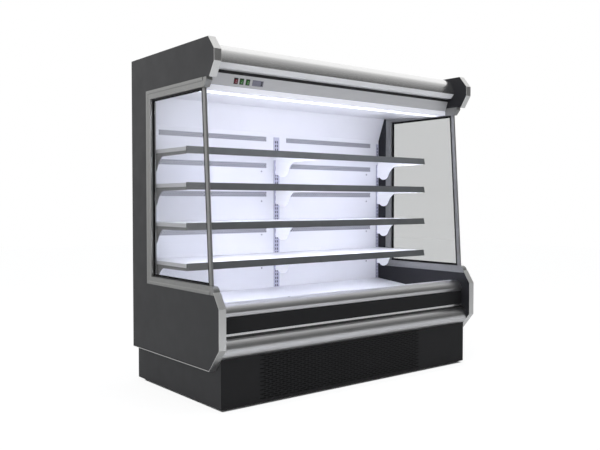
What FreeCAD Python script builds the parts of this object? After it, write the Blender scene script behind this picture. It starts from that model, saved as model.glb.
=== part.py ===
import FreeCAD, Part
import os
import re

import Sketcher
from FreeCAD import Placement, Rotation, Vector

# An open multideck display fridge, two metres long between its end panels.
#
# Frame: +X along the length, the open front faces -Y, +Z is up, and the floor is z = 0. The origin is on the
# floor under the middle of the cabinet. Depths are written as a reach: how far a point lies in front of the
# end panels' back edge. All sizes are millimetres.

SIZES = {
    # cabinet
    "body_length": "2000",
    "cabinet_height": "2000",
    "tub_depth": "925",
    "canopy_depth": "770",
    "plinth_height": "285",
    "sheet": "1.5",
    # foamed body
    "front_wall": "40",
    "front_wall_height": "283",
    "floor_foam": "60",
    "back_foam": "60",
    "roof_drop": "150",
    # plinth and base
    "plinth_stand_off": "16",
    "plinth_overhang": "35",
    "ground_gap": "12",
    "foot_height": "30",
    "foot_radius": "25",
    "foot_stem_radius": "6",
    "rail_size": "40",
    "rail_inset": "55",
    "base_plate": "2.5",
    # louvres in the kick plate
    "louvre_length": "40",
    "louvre_pitch": "52",
    "louvre_height": "6.5",
    "louvre_row_pitch": "12",
    "louvre_left_margin": "256",
    "louvre_right_margin": "456",
    "louvre_foot": "20",
    # end panels, with their lower nose and header
    "end_panel_thickness": "43.5",
    "panel_drop": "68",
    "nose_overhang": "89",
    "nose_under_setback": "15",
    "nose_low_rise": "59",
    "nose_high_rise": "276",
    "nose_tip_overhang": "35",
    "nose_tip_rise": "360",
    "header_overhang": "206",
    "header_top_overhang": "146",
    "header_under_overhang": "156",
    "header_high_drop": "74",
    "header_low_drop": "137",
    "header_under_drop": "215",
    "trim_thickness": "3",
    "trim_overhang": "2",
    # side windows
    "window_back_reach": "191",
    "window_sill_rise": "344",
    "window_head_drop": "208",
    "frame_width": "38",
    "frame_back_member": "55",
    "frame_sill_member": "46",
    "frame_head_member": "52",
    "bar_head_overhang": "119",
    "cap_depth": "39",
    "bar_depth": "24",
    "bar_width": "12",
    "gasket_width": "7",
    "gasket_thickness": "12",
    "pane": "3",
    "pane_gap": "4",
    "spacer_width": "8",
    # back of the display space
    "panel_reach": "110",
    "panel_sheet": "1",
    "panel_foot_rise": "192",
    "panel_top_drop": "422",
    "panel_lip": "27",
    "upright_width": "47",
    "end_upright_width": "24",
    "upright_proud": "3",
    "upright_sheet": "2",
    "slot_pitch": "25.8",
    "slot_width": "7",
    "slot_length": "16",
    "slot_first_rise": "253",
    "slot_spacing": "16",
    "hole_radius": "4.6",
    "hole_pitch": "21.5",
    "hole_row_pitch": "10",
    "hole_margin": "49",
    "band_share_1": "0.4114",
    "band_share_2": "0.6376",
    "band_share_3": "0.8183",
    "band_share_4": "0.9846",
    # canopy
    "canopy_top_drop": "8",
    "canopy_sheet": "2.5",
    "canopy_flange": "30",
    "bulge_start": "21",
    "bulge_via_overhang": "76",
    "bulge_via_drop": "42",
    "bulge_overhang": "95",
    "bulge_drop": "108",
    "infill_setback": "25",
    "infill_drop": "135",
    "groove_overhang": "20",
    "groove_height": "21",
    "fascia_top_overhang": "40",
    "fascia_foot_overhang": "17",
    "fascia_height": "65",
    "fascia_sheet": "2",
    "fascia_flange": "45",
    "diffuser_height": "28",
    "diffuser_width": "52",
    "outlet_depth": "74",
    "outlet_height": "20",
    "outlet_cell": "24",
    "outlet_wall": "1.2",
    "ceiling_back_drop": "229",
    "ceiling_back_reach": "175",
    # front
    "bumper_sheet": "2.5",
    "bumper_top_setback": "27",
    "bumper_flange": "14",
    "bumper_via_overhang": "5",
    "bumper_via_drop": "14",
    "bumper_overhang": "23",
    "bumper_knee_drop": "47",
    "bumper_foot_overhang": "11",
    "bumper_foot_drop": "71",
    "front_panel_overhang": "15",
    "front_panel_height": "90",
    "bright_strip": "12",
    "dark_strip": "11",
    "bright_strip_overhang": "17",
    "dark_strip_overhang": "13",
    "lower_bumper_radius": "57",
    "lower_bumper_offset": "6",
    "lower_bumper_rise": "47",
    "return_sill": "43",
    "return_slot_pitch": "10",
    "return_slot_width": "5",
    # deck
    "deck_back_rise": "242",
    "deck_front_rise": "177",
    "deck_lip": "20",
    "deck_gap": "1.5",
    # shelves
    "shelf_share_1": "0.18",
    "shelf_share_2": "0.41",
    "shelf_share_3": "0.64",
    "shelf_share_4": "0.845",
    "hook_drop": "54.4",
    "hook_height": "12",
    "hook_depth": "10",
    "shelf_reach": "592",
    "shelf_depth_back": "118",
    "shelf_skirt": "23",
    "shelf_sheet": "1.2",
    "shelf_end_gap": "5",
    "rail_height": "42",
    "rail_lean": "9",
    "rail_sheet": "1.5",
    "rail_lip": "1",
    "bracket_sheet": "2.5",
    "bracket_end_inset": "12",
    "bracket_heel": "127",
    "bracket_toe": "44",
    "lamp_width": "24",
    "lamp_height": "12",
    "screw_radius": "4.5",
    "screw_head": "2.5",
    "screw_inset": "105",
    "screw_drop": "107",
    # cold air side
    "coil_reach": "140",
    "coil_depth": "300",
    "coil_height": "130",
    "coil_half_length": "850",
    "fan_plate_reach": "520",
    "fan_spacing": "600",
    "fan_radius": "58",
    "fan_clearance": "4",
    "hub_radius": "14",
    "hub_length": "14",
    "shaft_radius": "3",
    "shaft_clearance": "0.05",
    "blade_chord": "26",
    "blade_angle": "28",
    "blade_sheet": "1.5",
    "motor_radius": "26",
    "motor_length": "40",
    "strut_height": "14",
    "strut_sheet": "3",
    # machine bay
    "condenser_inset": "440",
    "condenser_width": "500",
    "condenser_reach": "850",
    "condenser_depth": "65",
    "condenser_height": "200",
    "shroud_depth": "35",
    "condenser_fan_radius": "88",
    "compressor_inset": "380",
    "compressor_reach": "450",
    "compressor_radius": "85",
    "compressor_height": "180",
    "pipe_radius": "4",
    "pipe_bend": "30",
    "drier_radius": "12",
    "drier_length": "90",
    "drain_x": "60",
    "drain_reach": "700",
    "drain_radius": "20",
    "drain_wall": "3",
    "drain_clearance": "0.3",
    "tray_length": "380",
    "tray_depth": "200",
    "tray_height": "52",
    "box_inset": "40",
    "box_width": "180",
    "box_reach": "600",
    "box_depth": "200",
    "box_height": "170",
    "gland_inset": "120",
    "gland_reach": "130",
    "gland_radius": "10",
    "gland_bore": "4.5",
    "gland_clearance": "0.2",
    # controls on the fascia
    "control_level": "32",
    "rocker_inset_1": "207",
    "rocker_inset_2": "245.5",
    "rocker_inset_3": "287.5",
    "rocker_body_width": "22",
    "rocker_body_height": "30",
    "rocker_flange": "2.5",
    "rocker_wall": "1.2",
    "rocker_depth": "18",
    "rocker_tilt": "10",
    "rocker_pivot": "5",
    "play": "0.3",
    "controller_inset": "356.5",
    "controller_width": "75",
    "controller_height": "33",
    "controller_depth": "45",
    "controller_rim": "2.5",
    "button_width": "10",
    "button_height": "6",
    "button_pitch": "8.5",
    "button_x": "26",
    "button_travel": "0.8",
}

# Places that follow from the sizes. A "reach" is a depth in front of the end panels' back edge, and a "level"
# is a height.
PLACES = {
    "half_length": "body_length / 2",
    "back": "(tub_depth + nose_overhang - plinth_stand_off) / 2",
    "tub_floor": "plinth_height + floor_foam",
    "front_wall_top": "plinth_height + front_wall_height",
    "canopy_top": "cabinet_height - canopy_top_drop",
    "roof_top": "canopy_top - canopy_sheet",
    "roof_bottom": "cabinet_height - roof_drop",
    "rail_top": "foot_height + rail_size",
    "bay_floor": "rail_top + base_plate",
    "kick_reach": "tub_depth + plinth_overhang",
    "kick_top": "plinth_height - 2",
    "front_rail_reach": "tub_depth - rail_inset",
    # end panels
    "panel_bottom": "plinth_height - panel_drop",
    "nose_reach": "tub_depth + nose_overhang",
    "nose_under_reach": "tub_depth - nose_under_setback",
    "nose_low": "plinth_height + nose_low_rise",
    "nose_high": "plinth_height + nose_high_rise",
    "tip_reach": "tub_depth + nose_tip_overhang",
    "tip_level": "plinth_height + nose_tip_rise",
    "header_reach": "canopy_depth + header_overhang",
    "header_top_reach": "canopy_depth + header_top_overhang",
    "header_under_reach": "canopy_depth + header_under_overhang",
    "header_high": "cabinet_height - header_high_drop",
    "header_low": "cabinet_height - header_low_drop",
    "header_under": "cabinet_height - header_under_drop",
    "sill": "plinth_height + window_sill_rise",
    "head": "cabinet_height - window_head_drop",
    "sill_front": "tip_reach + (nose_reach - tip_reach) * (tip_level - sill) / (tip_level - nose_high)",
    # side windows
    "frame_back": "window_back_reach + frame_back_member",
    "sill_top": "sill + frame_sill_member",
    "head_low": "head - frame_head_member",
    "foot_front": "tip_reach - trim_thickness",
    "foot_back": "foot_front - cap_depth",
    "bar_head_front": "canopy_depth + bar_head_overhang",
    "bar_head_back": "bar_head_front - cap_depth",
    "bar_lean": "(foot_back - bar_head_back) / (head_low - sill_top)",
    "bar_foot": "foot_back - bar_depth",
    "bar_head": "bar_head_back - bar_depth",
    "glass_foot": "sill_top + gasket_width",
    "glass_head": "head_low - gasket_width",
    "glass_back": "frame_back + gasket_width",
    "glass_foot_front": "bar_foot - gasket_width * (1 + bar_lean)",
    "glass_head_front": "bar_head - gasket_width * (1 - bar_lean)",
    "glass_middle": "half_length + end_panel_thickness / 2",
    # back of the display space
    "panel_foot": "plinth_height + panel_foot_rise",
    "panel_top": "cabinet_height - panel_top_drop",
    "lip_top": "panel_top + panel_lip",
    "web_reach": "panel_reach + upright_proud",
    "slot_first": "plinth_height + slot_first_rise",
    "slot_last": "floor((panel_top - slot_length - slot_first) / slot_pitch)",
    "shelf_slot_1": "round(slot_last * shelf_share_1)",
    "shelf_slot_2": "round(slot_last * shelf_share_2)",
    "shelf_slot_3": "round(slot_last * shelf_share_3)",
    "shelf_slot_4": "round(slot_last * shelf_share_4)",
    # canopy
    "bulge_low": "canopy_top - bulge_drop",
    "bulge_reach": "canopy_depth + bulge_overhang",
    "infill_level": "canopy_top - infill_drop",
    "groove_reach": "canopy_depth + groove_overhang + fascia_sheet",
    "fascia_top": "infill_level - groove_height",
    "fascia_foot": "fascia_top - fascia_height",
    "fascia_top_reach": "canopy_depth + fascia_top_overhang",
    "fascia_foot_reach": "canopy_depth + fascia_foot_overhang",
    "fascia_back": "fascia_foot_reach - fascia_flange",
    "fascia_lean": "atan((fascia_top_reach - fascia_foot_reach) / fascia_height)",
    "light_low": "fascia_foot - diffuser_height",
    "outlet_front": "fascia_foot_reach - diffuser_width",
    "outlet_back": "outlet_front - outlet_depth",
    "ceiling_back": "cabinet_height - ceiling_back_drop",
    # front
    "return_top": "front_wall_top + sheet",
    "bumper_top": "return_top + bumper_sheet",
    "bumper_foot": "bumper_top - bumper_foot_drop",
    "bumper_flange_back": "tub_depth - bumper_top_setback - bumper_flange",
    "front_panel_low": "bumper_foot - front_panel_height",
    "bright_low": "front_panel_low - bright_strip",
    "dark_low": "bright_low - dark_strip",
    "round_level": "plinth_height + lower_bumper_rise",
    "round_front": "tub_depth + lower_bumper_offset + lower_bumper_radius",
    "return_back": "tub_depth - front_wall - return_sill",
    # deck
    "deck_back_reach": "web_reach + deck_gap",
    "deck_front_reach": "return_back - deck_gap",
    "deck_back_level": "plinth_height + deck_back_rise",
    "deck_front_level": "plinth_height + deck_front_rise",
    "deck_fall": "(deck_back_level - deck_front_level) / (deck_front_reach - deck_back_reach)",
    "deck_foot": "deck_front_level - deck_lip",
    "coil_top": "tub_floor + coil_height",
    # machine bay
    "bay_middle": "bay_floor + condenser_height / 2",
    "condenser_left": "condenser_inset - half_length",
    "condenser_right": "condenser_left + condenser_width",
    "compressor_x": "half_length - compressor_inset",
    "box_left": "half_length - box_inset - box_width",
    "gland_x": "half_length - gland_inset",
    "condenser_middle": "condenser_left + condenser_width / 2",
    "shroud_reach": "condenser_reach - shroud_depth",
    "fan_level": "tub_floor + fan_radius + 3 * fan_clearance",
    # controls
    "rocker_x_1": "rocker_inset_1 - half_length",
    "rocker_x_2": "rocker_inset_2 - half_length",
    "rocker_x_3": "rocker_inset_3 - half_length",
    "controller_x": "controller_inset - half_length",
    "control_height": "fascia_foot + control_level",
    "control_reach": "fascia_foot_reach + control_level * tan(fascia_lean)",
}

doc = FreeCAD.newDocument("multideck")
sizes = doc.addObject("Spreadsheet::Sheet", "Sizes")
NODES = []


# ---- sizes -------------------------------------------------------------------------------------------------


def fill_sheet():
    for row, (alias, number) in enumerate(SIZES.items(), start=1):
        sizes.set(f"A{row}", alias.replace("_", " "))
        sizes.set(f"B{row}", number)
        sizes.setAlias(f"B{row}", alias)
    doc.recompute()


def formula(text):
    """Turns a formula in the names above into one that reads the sheet."""

    def swap(match):
        word = match.group(0)
        if word in PLACES:
            return "(" + formula(PLACES[word]) + ")"
        return "Sizes." + word if word in SIZES else word

    return re.sub(r"[A-Za-z_]\w*", swap, str(text))


def value(text):
    return float(sizes.evalExpression(formula(text)))


def bind(thing, name, text):
    thing.setExpression(name, formula(text))


def place(thing, x, y, z):
    for axis, text in zip("xyz", (x, y, z)):
        bind(thing, "Placement.Base." + axis, text)
    return thing


def at_reach(reach):
    return f"back - ({reach})"


def node(label, thing):
    thing.Label = label
    NODES.append(thing)
    return thing


# ---- simple forms ------------------------------------------------------------------------------------------


def block(name, x0, x1, reach0, reach1, z0, z1):
    """A block between two ends along X, two reaches and two heights."""
    made = doc.addObject("Part::Box", name)
    bind(made, "Length", f"({x1}) - ({x0})")
    bind(made, "Width", f"({reach1}) - ({reach0})")
    bind(made, "Height", f"({z1}) - ({z0})")
    return place(made, x0, at_reach(reach1), z0)


TURNS = {
    "x": Rotation(Vector(0, 1, 0), 90),
    "forward": Rotation(Vector(1, 0, 0), 90),
    "backward": Rotation(Vector(1, 0, 0), -90),
    "up": Rotation(),
}


def rod(name, x, reach, z, way, radius, length):
    """A cylinder that starts at a point and runs along X, up, forward (to a longer reach) or backward."""
    made = doc.addObject("Part::Cylinder", name)
    made.Placement = Placement(Vector(), TURNS[way])
    bind(made, "Radius", radius)
    bind(made, "Height", length)
    return place(made, x, at_reach(reach), z)


def cut(name, base, *tools):
    for count, tool in enumerate(tools):
        made = doc.addObject("Part::Cut", f"{name}_{count}")
        made.Base = base
        made.Tool = tool
        base = made
    return base


def fuse(name, *members):
    made = doc.addObject("Part::MultiFuse", name)
    made.Shapes = list(members)
    return made


def group(label, members):
    """Several separate pieces that share one node."""
    made = doc.addObject("Part::Compound", label)
    made.Links = list(members)
    return node(label, made)


# ---- sketched forms ----------------------------------------------------------------------------------------


def add_ring(sketch, ring):
    """Draws a closed outline. Each point is a pair of formulas, and one marked "via" is on the arc between the
    points next to it."""
    spots = [Vector(value(p[0]), value(p[1]), 0) for p in ring]
    corners = [i for i, p in enumerate(ring) if len(p) == 2]
    ends = []
    for i, here in enumerate(corners):
        there = corners[(i + 1) % len(corners)]
        is_arc = (here + 1) % len(ring) != there
        if is_arc:
            via = (here + 1) % len(ring)
            edge = sketch.addGeometry(Part.Arc(spots[here], spots[via], spots[there]), False)
            turn = (spots[via] - spots[here]).cross(spots[there] - spots[via]).z
            first, last = (1, 2) if turn > 0 else (2, 1)
            mark = sketch.addGeometry(Part.Point(spots[via]), True)
            sketch.addConstraint(Sketcher.Constraint("PointOnObject", mark, 1, edge))
            pin(sketch, mark, 1, ring[via])
        else:
            edge = sketch.addGeometry(Part.LineSegment(spots[here], spots[there]), False)
            first, last = 1, 2
        ends.append((edge, first, last))
        pin(sketch, edge, first, ring[here])
    for (edge, _, last), (following, first, _) in zip(ends, ends[1:] + ends[:1]):
        sketch.addConstraint(Sketcher.Constraint("Coincident", edge, last, following, first))


def pin(sketch, edge, end, point):
    for kind, text in zip(("DistanceX", "DistanceY"), point):
        number = sketch.addConstraint(Sketcher.Constraint(kind, -1, 1, edge, end, value(text)))
        bind(sketch, f"Constraints[{number}]", text)


def add_sketch(body, plane, rings, start):
    """A sketch on one of the body's own origin planes, moved along that plane's normal."""
    sketch = body.newObject("Sketcher::SketchObject", body.Name + "_outline")
    face = [f for f in body.Origin.OriginFeatures if f.Role == plane + "_Plane"][0]
    sketch.AttachmentSupport = (face, [""])
    sketch.MapMode = "FlatFace"
    bind(sketch, "AttachmentOffset.Base.z", start)
    for ring in rings:
        add_ring(sketch, ring)
    return sketch


def add_pad(body, plane, rings, start, length):
    pad = body.newObject("PartDesign::Pad", body.Name + "_pad")
    pad.Profile = add_sketch(body, plane, rings, start)
    bind(pad, "Length", length)
    return body


def prism(name, rings, start, length):
    """Outlines of (reach, height) points, padded along X."""
    body = doc.addObject("PartDesign::Body", name)
    across = [[(at_reach(p[0]),) + tuple(p[1:]) for p in ring] for ring in rings]
    return add_pad(body, "YZ", across, start, length)


def full_prism(name, ring):
    """A prism as long as the body, between the end panels."""
    return prism(name, [ring], "-half_length", "body_length")


def end_prisms(name, rings, inner, width):
    """The same prism at both ends, from an inner face to a width outward: left, then right."""
    left = prism(name + "_left", rings, f"-({inner}) - ({width})", width)
    return left, prism(name + "_right", rings, inner, width)


def rectangle(x0, x1, z0, z1):
    return [(x0, z0), (x1, z0), (x1, z1), (x0, z1)]


# ---- pierced sheets ----------------------------------------------------------------------------------------


def loop(points):
    return Part.makePolygon(points + points[:1])


def pierced_sheet(corner, along, up, fields, thickness):
    """A flat sheet with many holes, made field by field, because a face with hundreds of holes is slow.

    A field is an outline and its holes, in the sheet's own plane. A hole is a list of points, or the middle and
    radius of a round one.
    """
    inward = up.cross(along)

    def spot(a, b):
        return corner + along * a + up * b

    def edge(hole):
        if isinstance(hole[0], tuple):
            return loop([spot(a, b) for a, b in reversed(hole)])
        a, b, radius = hole
        return Part.Wire(Part.makeCircle(radius, spot(a, b), inward))

    pieces = []
    for outline, holes in fields:
        outer = loop([spot(a, b) for a, b in outline])
        pieces.append(Part.Face([outer] + [edge(hole) for hole in holes]).extrude(thickness))
    return pieces[0].fuse(pieces[1:]) if len(pieces) > 1 else pieces[0]


def window(a, b, width, height):
    """A rectangular hole round its middle."""
    x, z = width / 2, height / 2
    return [(a - x, b - z), (a + x, b - z), (a + x, b + z), (a - x, b + z)]


def field(a0, a1, b0, b1, holes):
    return [(a0, b0), (a1, b0), (a1, b1), (a0, b1)], holes


def made_shape(label, shape):
    feature = doc.addObject("Part::Feature", label)
    feature.Shape = shape
    return feature


# ---- base and plinth ---------------------------------------------------------------------------------------

FOOT_SPOTS = [
    (x, reach)
    for x in ("-(half_length - 2 * rail_size)", "0", "half_length - 2 * rail_size")
    for reach in ("2 * rail_size", "front_rail_reach - rail_size")
]


def make_base():
    long_rails = [
        block(
            "long_rail", "-(half_length - rail_size)", "half_length - rail_size", near, far, "foot_height",
            "rail_top"
        )
        for near, far in (
            ("1.5 * rail_size", "2.5 * rail_size"),
            ("front_rail_reach - 1.5 * rail_size", "front_rail_reach - 0.5 * rail_size"),
        )
    ]
    middles = ("-(half_length - 2 * rail_size)", "0", "half_length - 2 * rail_size")
    cross_rails = [
        block(
            "cross_rail",
            f"{x} - rail_size / 2",
            f"{x} + rail_size / 2",
            "2.5 * rail_size",
            "front_rail_reach - 1.5 * rail_size",
            "foot_height",
            "rail_top",
        )
        for x in middles
    ]
    posts = [
        block(
            "post",
            f"{x} - rail_size / 2",
            f"{x} + rail_size / 2",
            f"{reach} - rail_size / 2",
            f"{reach} + rail_size / 2",
            "bay_floor",
            "plinth_height",
        )
        for x, reach in FOOT_SPOTS
    ]
    group("base_frame", long_rails + cross_rails + posts)

    feet = []
    for x, reach in FOOT_SPOTS:
        pad = rod("foot_pad", x, reach, "0", "up", "foot_radius", "foot_height / 3")
        stem = rod("foot_stem", x, reach, "0", "up", "foot_stem_radius", "foot_height")
        nut = rod(
            "foot_nut", x, reach, "foot_height * 0.8", "up", "2 * foot_stem_radius", "foot_height * 0.2"
        )
        feet.append(fuse("foot", pad, stem, nut))
    group("levelling_feet", feet)

    plate = block(
        "plate", "-(half_length - sheet)", "half_length - sheet", "0", "kick_reach - sheet", "rail_top",
        "bay_floor"
    )
    hole = rod(
        "gland_hole", "gland_x", "gland_reach", "foot_height", "up", "gland_radius + gland_clearance",
        "2 * rail_size"
    )
    node("base_plate", cut("pierced_plate", plate, hole))


def make_plinth():
    sides = [
        block(
            "plinth_side", x0, x1, "-plinth_stand_off", "kick_reach - sheet", "ground_gap", "kick_top"
        )
        for x0, x1 in (("-half_length", "sheet - half_length"), ("half_length - sheet", "half_length"))
    ]
    rear_ring = [
        ("-plinth_stand_off", "ground_gap"),
        ("sheet - plinth_stand_off", "ground_gap"),
        ("sheet - plinth_stand_off", "plinth_height - sheet"),
        ("rail_size / 2", "plinth_height - sheet"),
        ("rail_size / 2", "plinth_height"),
        ("-plinth_stand_off", "plinth_height"),
    ]
    rear = prism("plinth_rear", [rear_ring], "sheet - half_length", "body_length - 2 * sheet")
    group("plinth_panels", sides + [rear])
    make_kick_plate()


def make_kick_plate():
    """The front of the plinth: staggered rows of short slots between plain ends."""
    half, low, high = value("half_length"), value("ground_gap"), value("kick_top")
    pitch, length = value("louvre_pitch"), value("louvre_length")
    row_pitch, slot = value("louvre_row_pitch"), value("louvre_height")
    left = value("louvre_left_margin") - half
    right = half - value("louvre_right_margin")
    first = low + value("louvre_foot")
    rows = int((high - slot - first) // row_pitch) + 1
    fields = []
    for row in range(rows):
        start = left + (row % 2) * pitch / 2
        count = int((right - start + pitch - length) // pitch)
        level = first + row * row_pitch
        foot = low if row == 0 else level - row_pitch / 2
        top = high if row == rows - 1 else level + row_pitch / 2
        holes = [window(start + number * pitch + length / 2, level, length, slot) for number in range(count)]
        fields.append(field(-half, half, foot, top, holes))
    corner = Vector(0, value(at_reach("kick_reach")), 0)
    plate = pierced_sheet(corner, Vector(1, 0, 0), Vector(0, 0, 1), fields, Vector(0, value("sheet"), 0))
    node("kick_plate", made_shape("kick_plate", plate))


# ---- foamed body and end panels ----------------------------------------------------------------------------


def make_body():
    shell = full_prism(
        "body_shell",
        [
            ("0", "plinth_height"),
            ("tub_depth", "plinth_height"),
            ("tub_depth", "front_wall_top - bumper_top_setback"),
            ("tub_depth - bumper_top_setback", "front_wall_top"),
            ("tub_depth - front_wall", "front_wall_top"),
            ("tub_depth - front_wall", "tub_floor"),
            ("back_foam", "tub_floor"),
            ("back_foam", "roof_bottom"),
            ("canopy_depth", "roof_bottom"),
            ("canopy_depth", "roof_top"),
            ("0", "roof_top"),
        ],
    )
    hole = rod(
        "drain_hole", "drain_x", "drain_reach", "bay_floor", "up", "drain_radius + drain_clearance",
        "front_wall_top"
    )
    node("insulated_body", cut("drained_body", shell, hole))


def make_end_panels():
    panel = [
        ("0", "panel_bottom + trim_thickness"),
        ("nose_under_reach", "panel_bottom + trim_thickness"),
        ("nose_reach - trim_thickness", "nose_low"),
        ("nose_reach - trim_thickness", "nose_high"),
        ("sill_front - trim_thickness", "sill"),
        ("window_back_reach", "sill"),
        ("window_back_reach", "head"),
        ("bar_head_front", "head"),
        ("header_under_reach - trim_thickness", "header_under"),
        ("header_reach - trim_thickness", "header_low"),
        ("header_reach - trim_thickness", "header_high"),
        ("header_top_reach - trim_thickness", "cabinet_height"),
        ("0", "cabinet_height"),
    ]
    bodies = end_prisms("panel", [panel], "half_length", "end_panel_thickness")
    for side, body in zip(("left", "right"), bodies):
        node("end_panel_" + side, body)

    lower_trim = [
        ("0", "panel_bottom"),
        ("nose_under_reach", "panel_bottom"),
        ("nose_reach", "nose_low"),
        ("nose_reach", "nose_high"),
        ("tip_reach", "tip_level"),
        ("tip_reach - trim_thickness", "tip_level"),
        ("nose_reach - trim_thickness", "nose_high"),
        ("nose_reach - trim_thickness", "nose_low"),
        ("nose_under_reach", "panel_bottom + trim_thickness"),
        ("0", "panel_bottom + trim_thickness"),
    ]
    upper_trim = [
        ("header_top_reach", "cabinet_height"),
        ("header_reach", "header_high"),
        ("header_reach", "header_low"),
        ("header_under_reach", "header_under"),
        ("header_under_reach - trim_thickness", "header_under"),
        ("header_reach - trim_thickness", "header_low"),
        ("header_reach - trim_thickness", "header_high"),
        ("header_top_reach - trim_thickness", "cabinet_height"),
    ]
    width = "end_panel_thickness + trim_overhang"
    lower = end_prisms("lower_trim", [lower_trim], "half_length", width)
    upper = end_prisms("upper_trim", [upper_trim], "half_length", width)
    for side, trims in zip(("left", "right"), zip(lower, upper)):
        group("nose_trims_" + side, trims)


def make_side_windows():
    frame = [
        ("window_back_reach", "sill"),
        ("foot_back", "sill"),
        ("foot_back", "sill_top"),
        ("frame_back", "sill_top"),
        ("frame_back", "head_low"),
        ("bar_head_back", "head_low"),
        ("bar_head_back", "head"),
        ("window_back_reach", "head"),
    ]
    inner = "glass_middle - frame_width / 2"
    for side, body in zip(("left", "right"), end_prisms("window_frame", [frame], inner, "frame_width")):
        node("glass_frame_" + side, body)

    bar = [
        ("bar_foot", "sill_top"),
        ("foot_back", "sill_top"),
        ("bar_head_back", "head_low"),
        ("bar_head", "head_low"),
    ]
    bars = end_prisms("front_bar", [bar], "glass_middle - bar_width / 2", "bar_width")
    foot_cap = [
        ("foot_back", "sill"),
        ("foot_front", "sill"),
        ("foot_front", "sill + frame_sill_member / 3"),
        ("foot_front - cap_depth / 5", "sill_top - frame_sill_member / 4", "via"),
        ("foot_back", "sill_top"),
    ]
    head_cap = [
        ("bar_head_back", "head_low"),
        ("bar_head_back + cap_depth / 4", "head_low"),
        ("bar_head_front", "head - frame_head_member / 3"),
        ("bar_head_front", "head"),
        ("bar_head_back", "head"),
    ]
    foot_caps = end_prisms("foot_cap", [foot_cap], inner, "frame_width")
    head_caps = end_prisms("head_cap", [head_cap], inner, "frame_width")
    group("glass_front_bars", bars + foot_caps + head_caps)

    opening = [
        ("frame_back", "sill_top"),
        ("bar_foot", "sill_top"),
        ("bar_head", "head_low"),
        ("frame_back", "head_low"),
    ]
    edge = [
        ("glass_back", "glass_foot"),
        ("glass_foot_front", "glass_foot"),
        ("glass_head_front", "glass_head"),
        ("glass_back", "glass_head"),
    ]
    group(
        "glass_gaskets",
        end_prisms("gasket", [opening, edge], "glass_middle - gasket_thickness / 2", "gasket_thickness"),
    )

    inset = [
        ("glass_back + spacer_width", "glass_foot + spacer_width"),
        ("glass_foot_front - spacer_width * (1 + bar_lean)", "glass_foot + spacer_width"),
        ("glass_head_front - spacer_width * (1 - bar_lean)", "glass_head - spacer_width"),
        ("glass_back + spacer_width", "glass_head - spacer_width"),
    ]
    inner_panes = end_prisms("inner_pane", [edge], "glass_middle - pane_gap / 2 - pane", "pane")
    outer_panes = end_prisms("outer_pane", [edge], "glass_middle + pane_gap / 2", "pane")
    spacers = end_prisms("spacer", [edge, inset], "glass_middle - pane_gap / 2", "pane_gap")
    for number, side in enumerate(("left", "right")):
        group("side_glass_" + side, [inner_panes[number], outer_panes[number], spacers[number]])


# ---- back of the display space -----------------------------------------------------------------------------


def make_back_panels():
    """Two perforated sheets, each between two uprights, with four bands of staggered holes."""
    low, high = value("panel_foot"), value("panel_top")
    radius, pitch, row_pitch = value("hole_radius"), value("hole_pitch"), value("hole_row_pitch")
    width = value("half_length - end_upright_width - upright_width / 2")
    margin = value("hole_margin")
    bands = [value(f"panel_foot + (panel_top - panel_foot) * band_share_{number}") for number in (1, 2, 3, 4)]
    count = int((width - 2 * margin) // pitch)
    start = (width - (count - 1) * pitch) / 2
    panels = []
    for left in ("end_upright_width - half_length", "upright_width / 2"):
        fields = []
        for order, level in enumerate(bands):
            holes = []
            for number in range(count):
                a = start + number * pitch
                holes.append((a, level - row_pitch, radius))
                holes.append((a, level + row_pitch, radius))
                if number < count - 1:
                    holes.append((a + pitch / 2, level, radius))
            foot = low if order == 0 else (bands[order - 1] + level) / 2
            top = high if order == len(bands) - 1 else (level + bands[order + 1]) / 2
            fields.append(field(0, width, foot, top, holes))
        corner = Vector(value(left), value(at_reach("panel_reach")), 0)
        panel = pierced_sheet(
            corner, Vector(1, 0, 0), Vector(0, 0, 1), fields, Vector(0, value("panel_sheet"), 0)
        )
        panels.append(panel)
    node("back_panels", made_shape("back_panels", Part.makeCompound(panels)))


def upright_shape(left, right, columns):
    """A slotted channel between two ends along X, with slots at each column."""
    low, high = value("panel_foot"), value("panel_top")
    pitch, first = value("slot_pitch"), value("slot_first")
    tall, wide = value("slot_length"), value("slot_width")
    count = int((high - tall - first) // pitch) + 1
    holes = [window(x, first + number * pitch, wide, tall) for x in columns for number in range(count)]
    front, thickness = value(at_reach("web_reach")), value("upright_sheet")
    web = pierced_sheet(
        Vector(0, front, 0),
        Vector(1, 0, 0),
        Vector(0, 0, 1),
        [field(left, right, low, high, holes)],
        Vector(0, thickness, 0),
    )
    depth = value("web_reach - back_foam") - thickness
    flanges = [
        Part.makeBox(thickness, depth, high - low, Vector(x, front + thickness, low))
        for x in (left, right - thickness)
    ]
    return web.fuse(flanges).removeSplitter()


def make_uprights():
    half, width, end_width = value("half_length"), value("upright_width"), value("end_upright_width")
    spacing = value("slot_spacing") / 2
    end_column = value("half_length - bracket_end_inset")
    shapes = [
        upright_shape(-half, end_width - half, [-end_column]),
        upright_shape(-width / 2, width / 2, [-spacing, spacing]),
        upright_shape(half - end_width, half, [end_column]),
    ]
    node("uprights", made_shape("uprights", Part.makeCompound(shapes)))


# ---- canopy ------------------------------------------------------------------------------------------------


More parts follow.
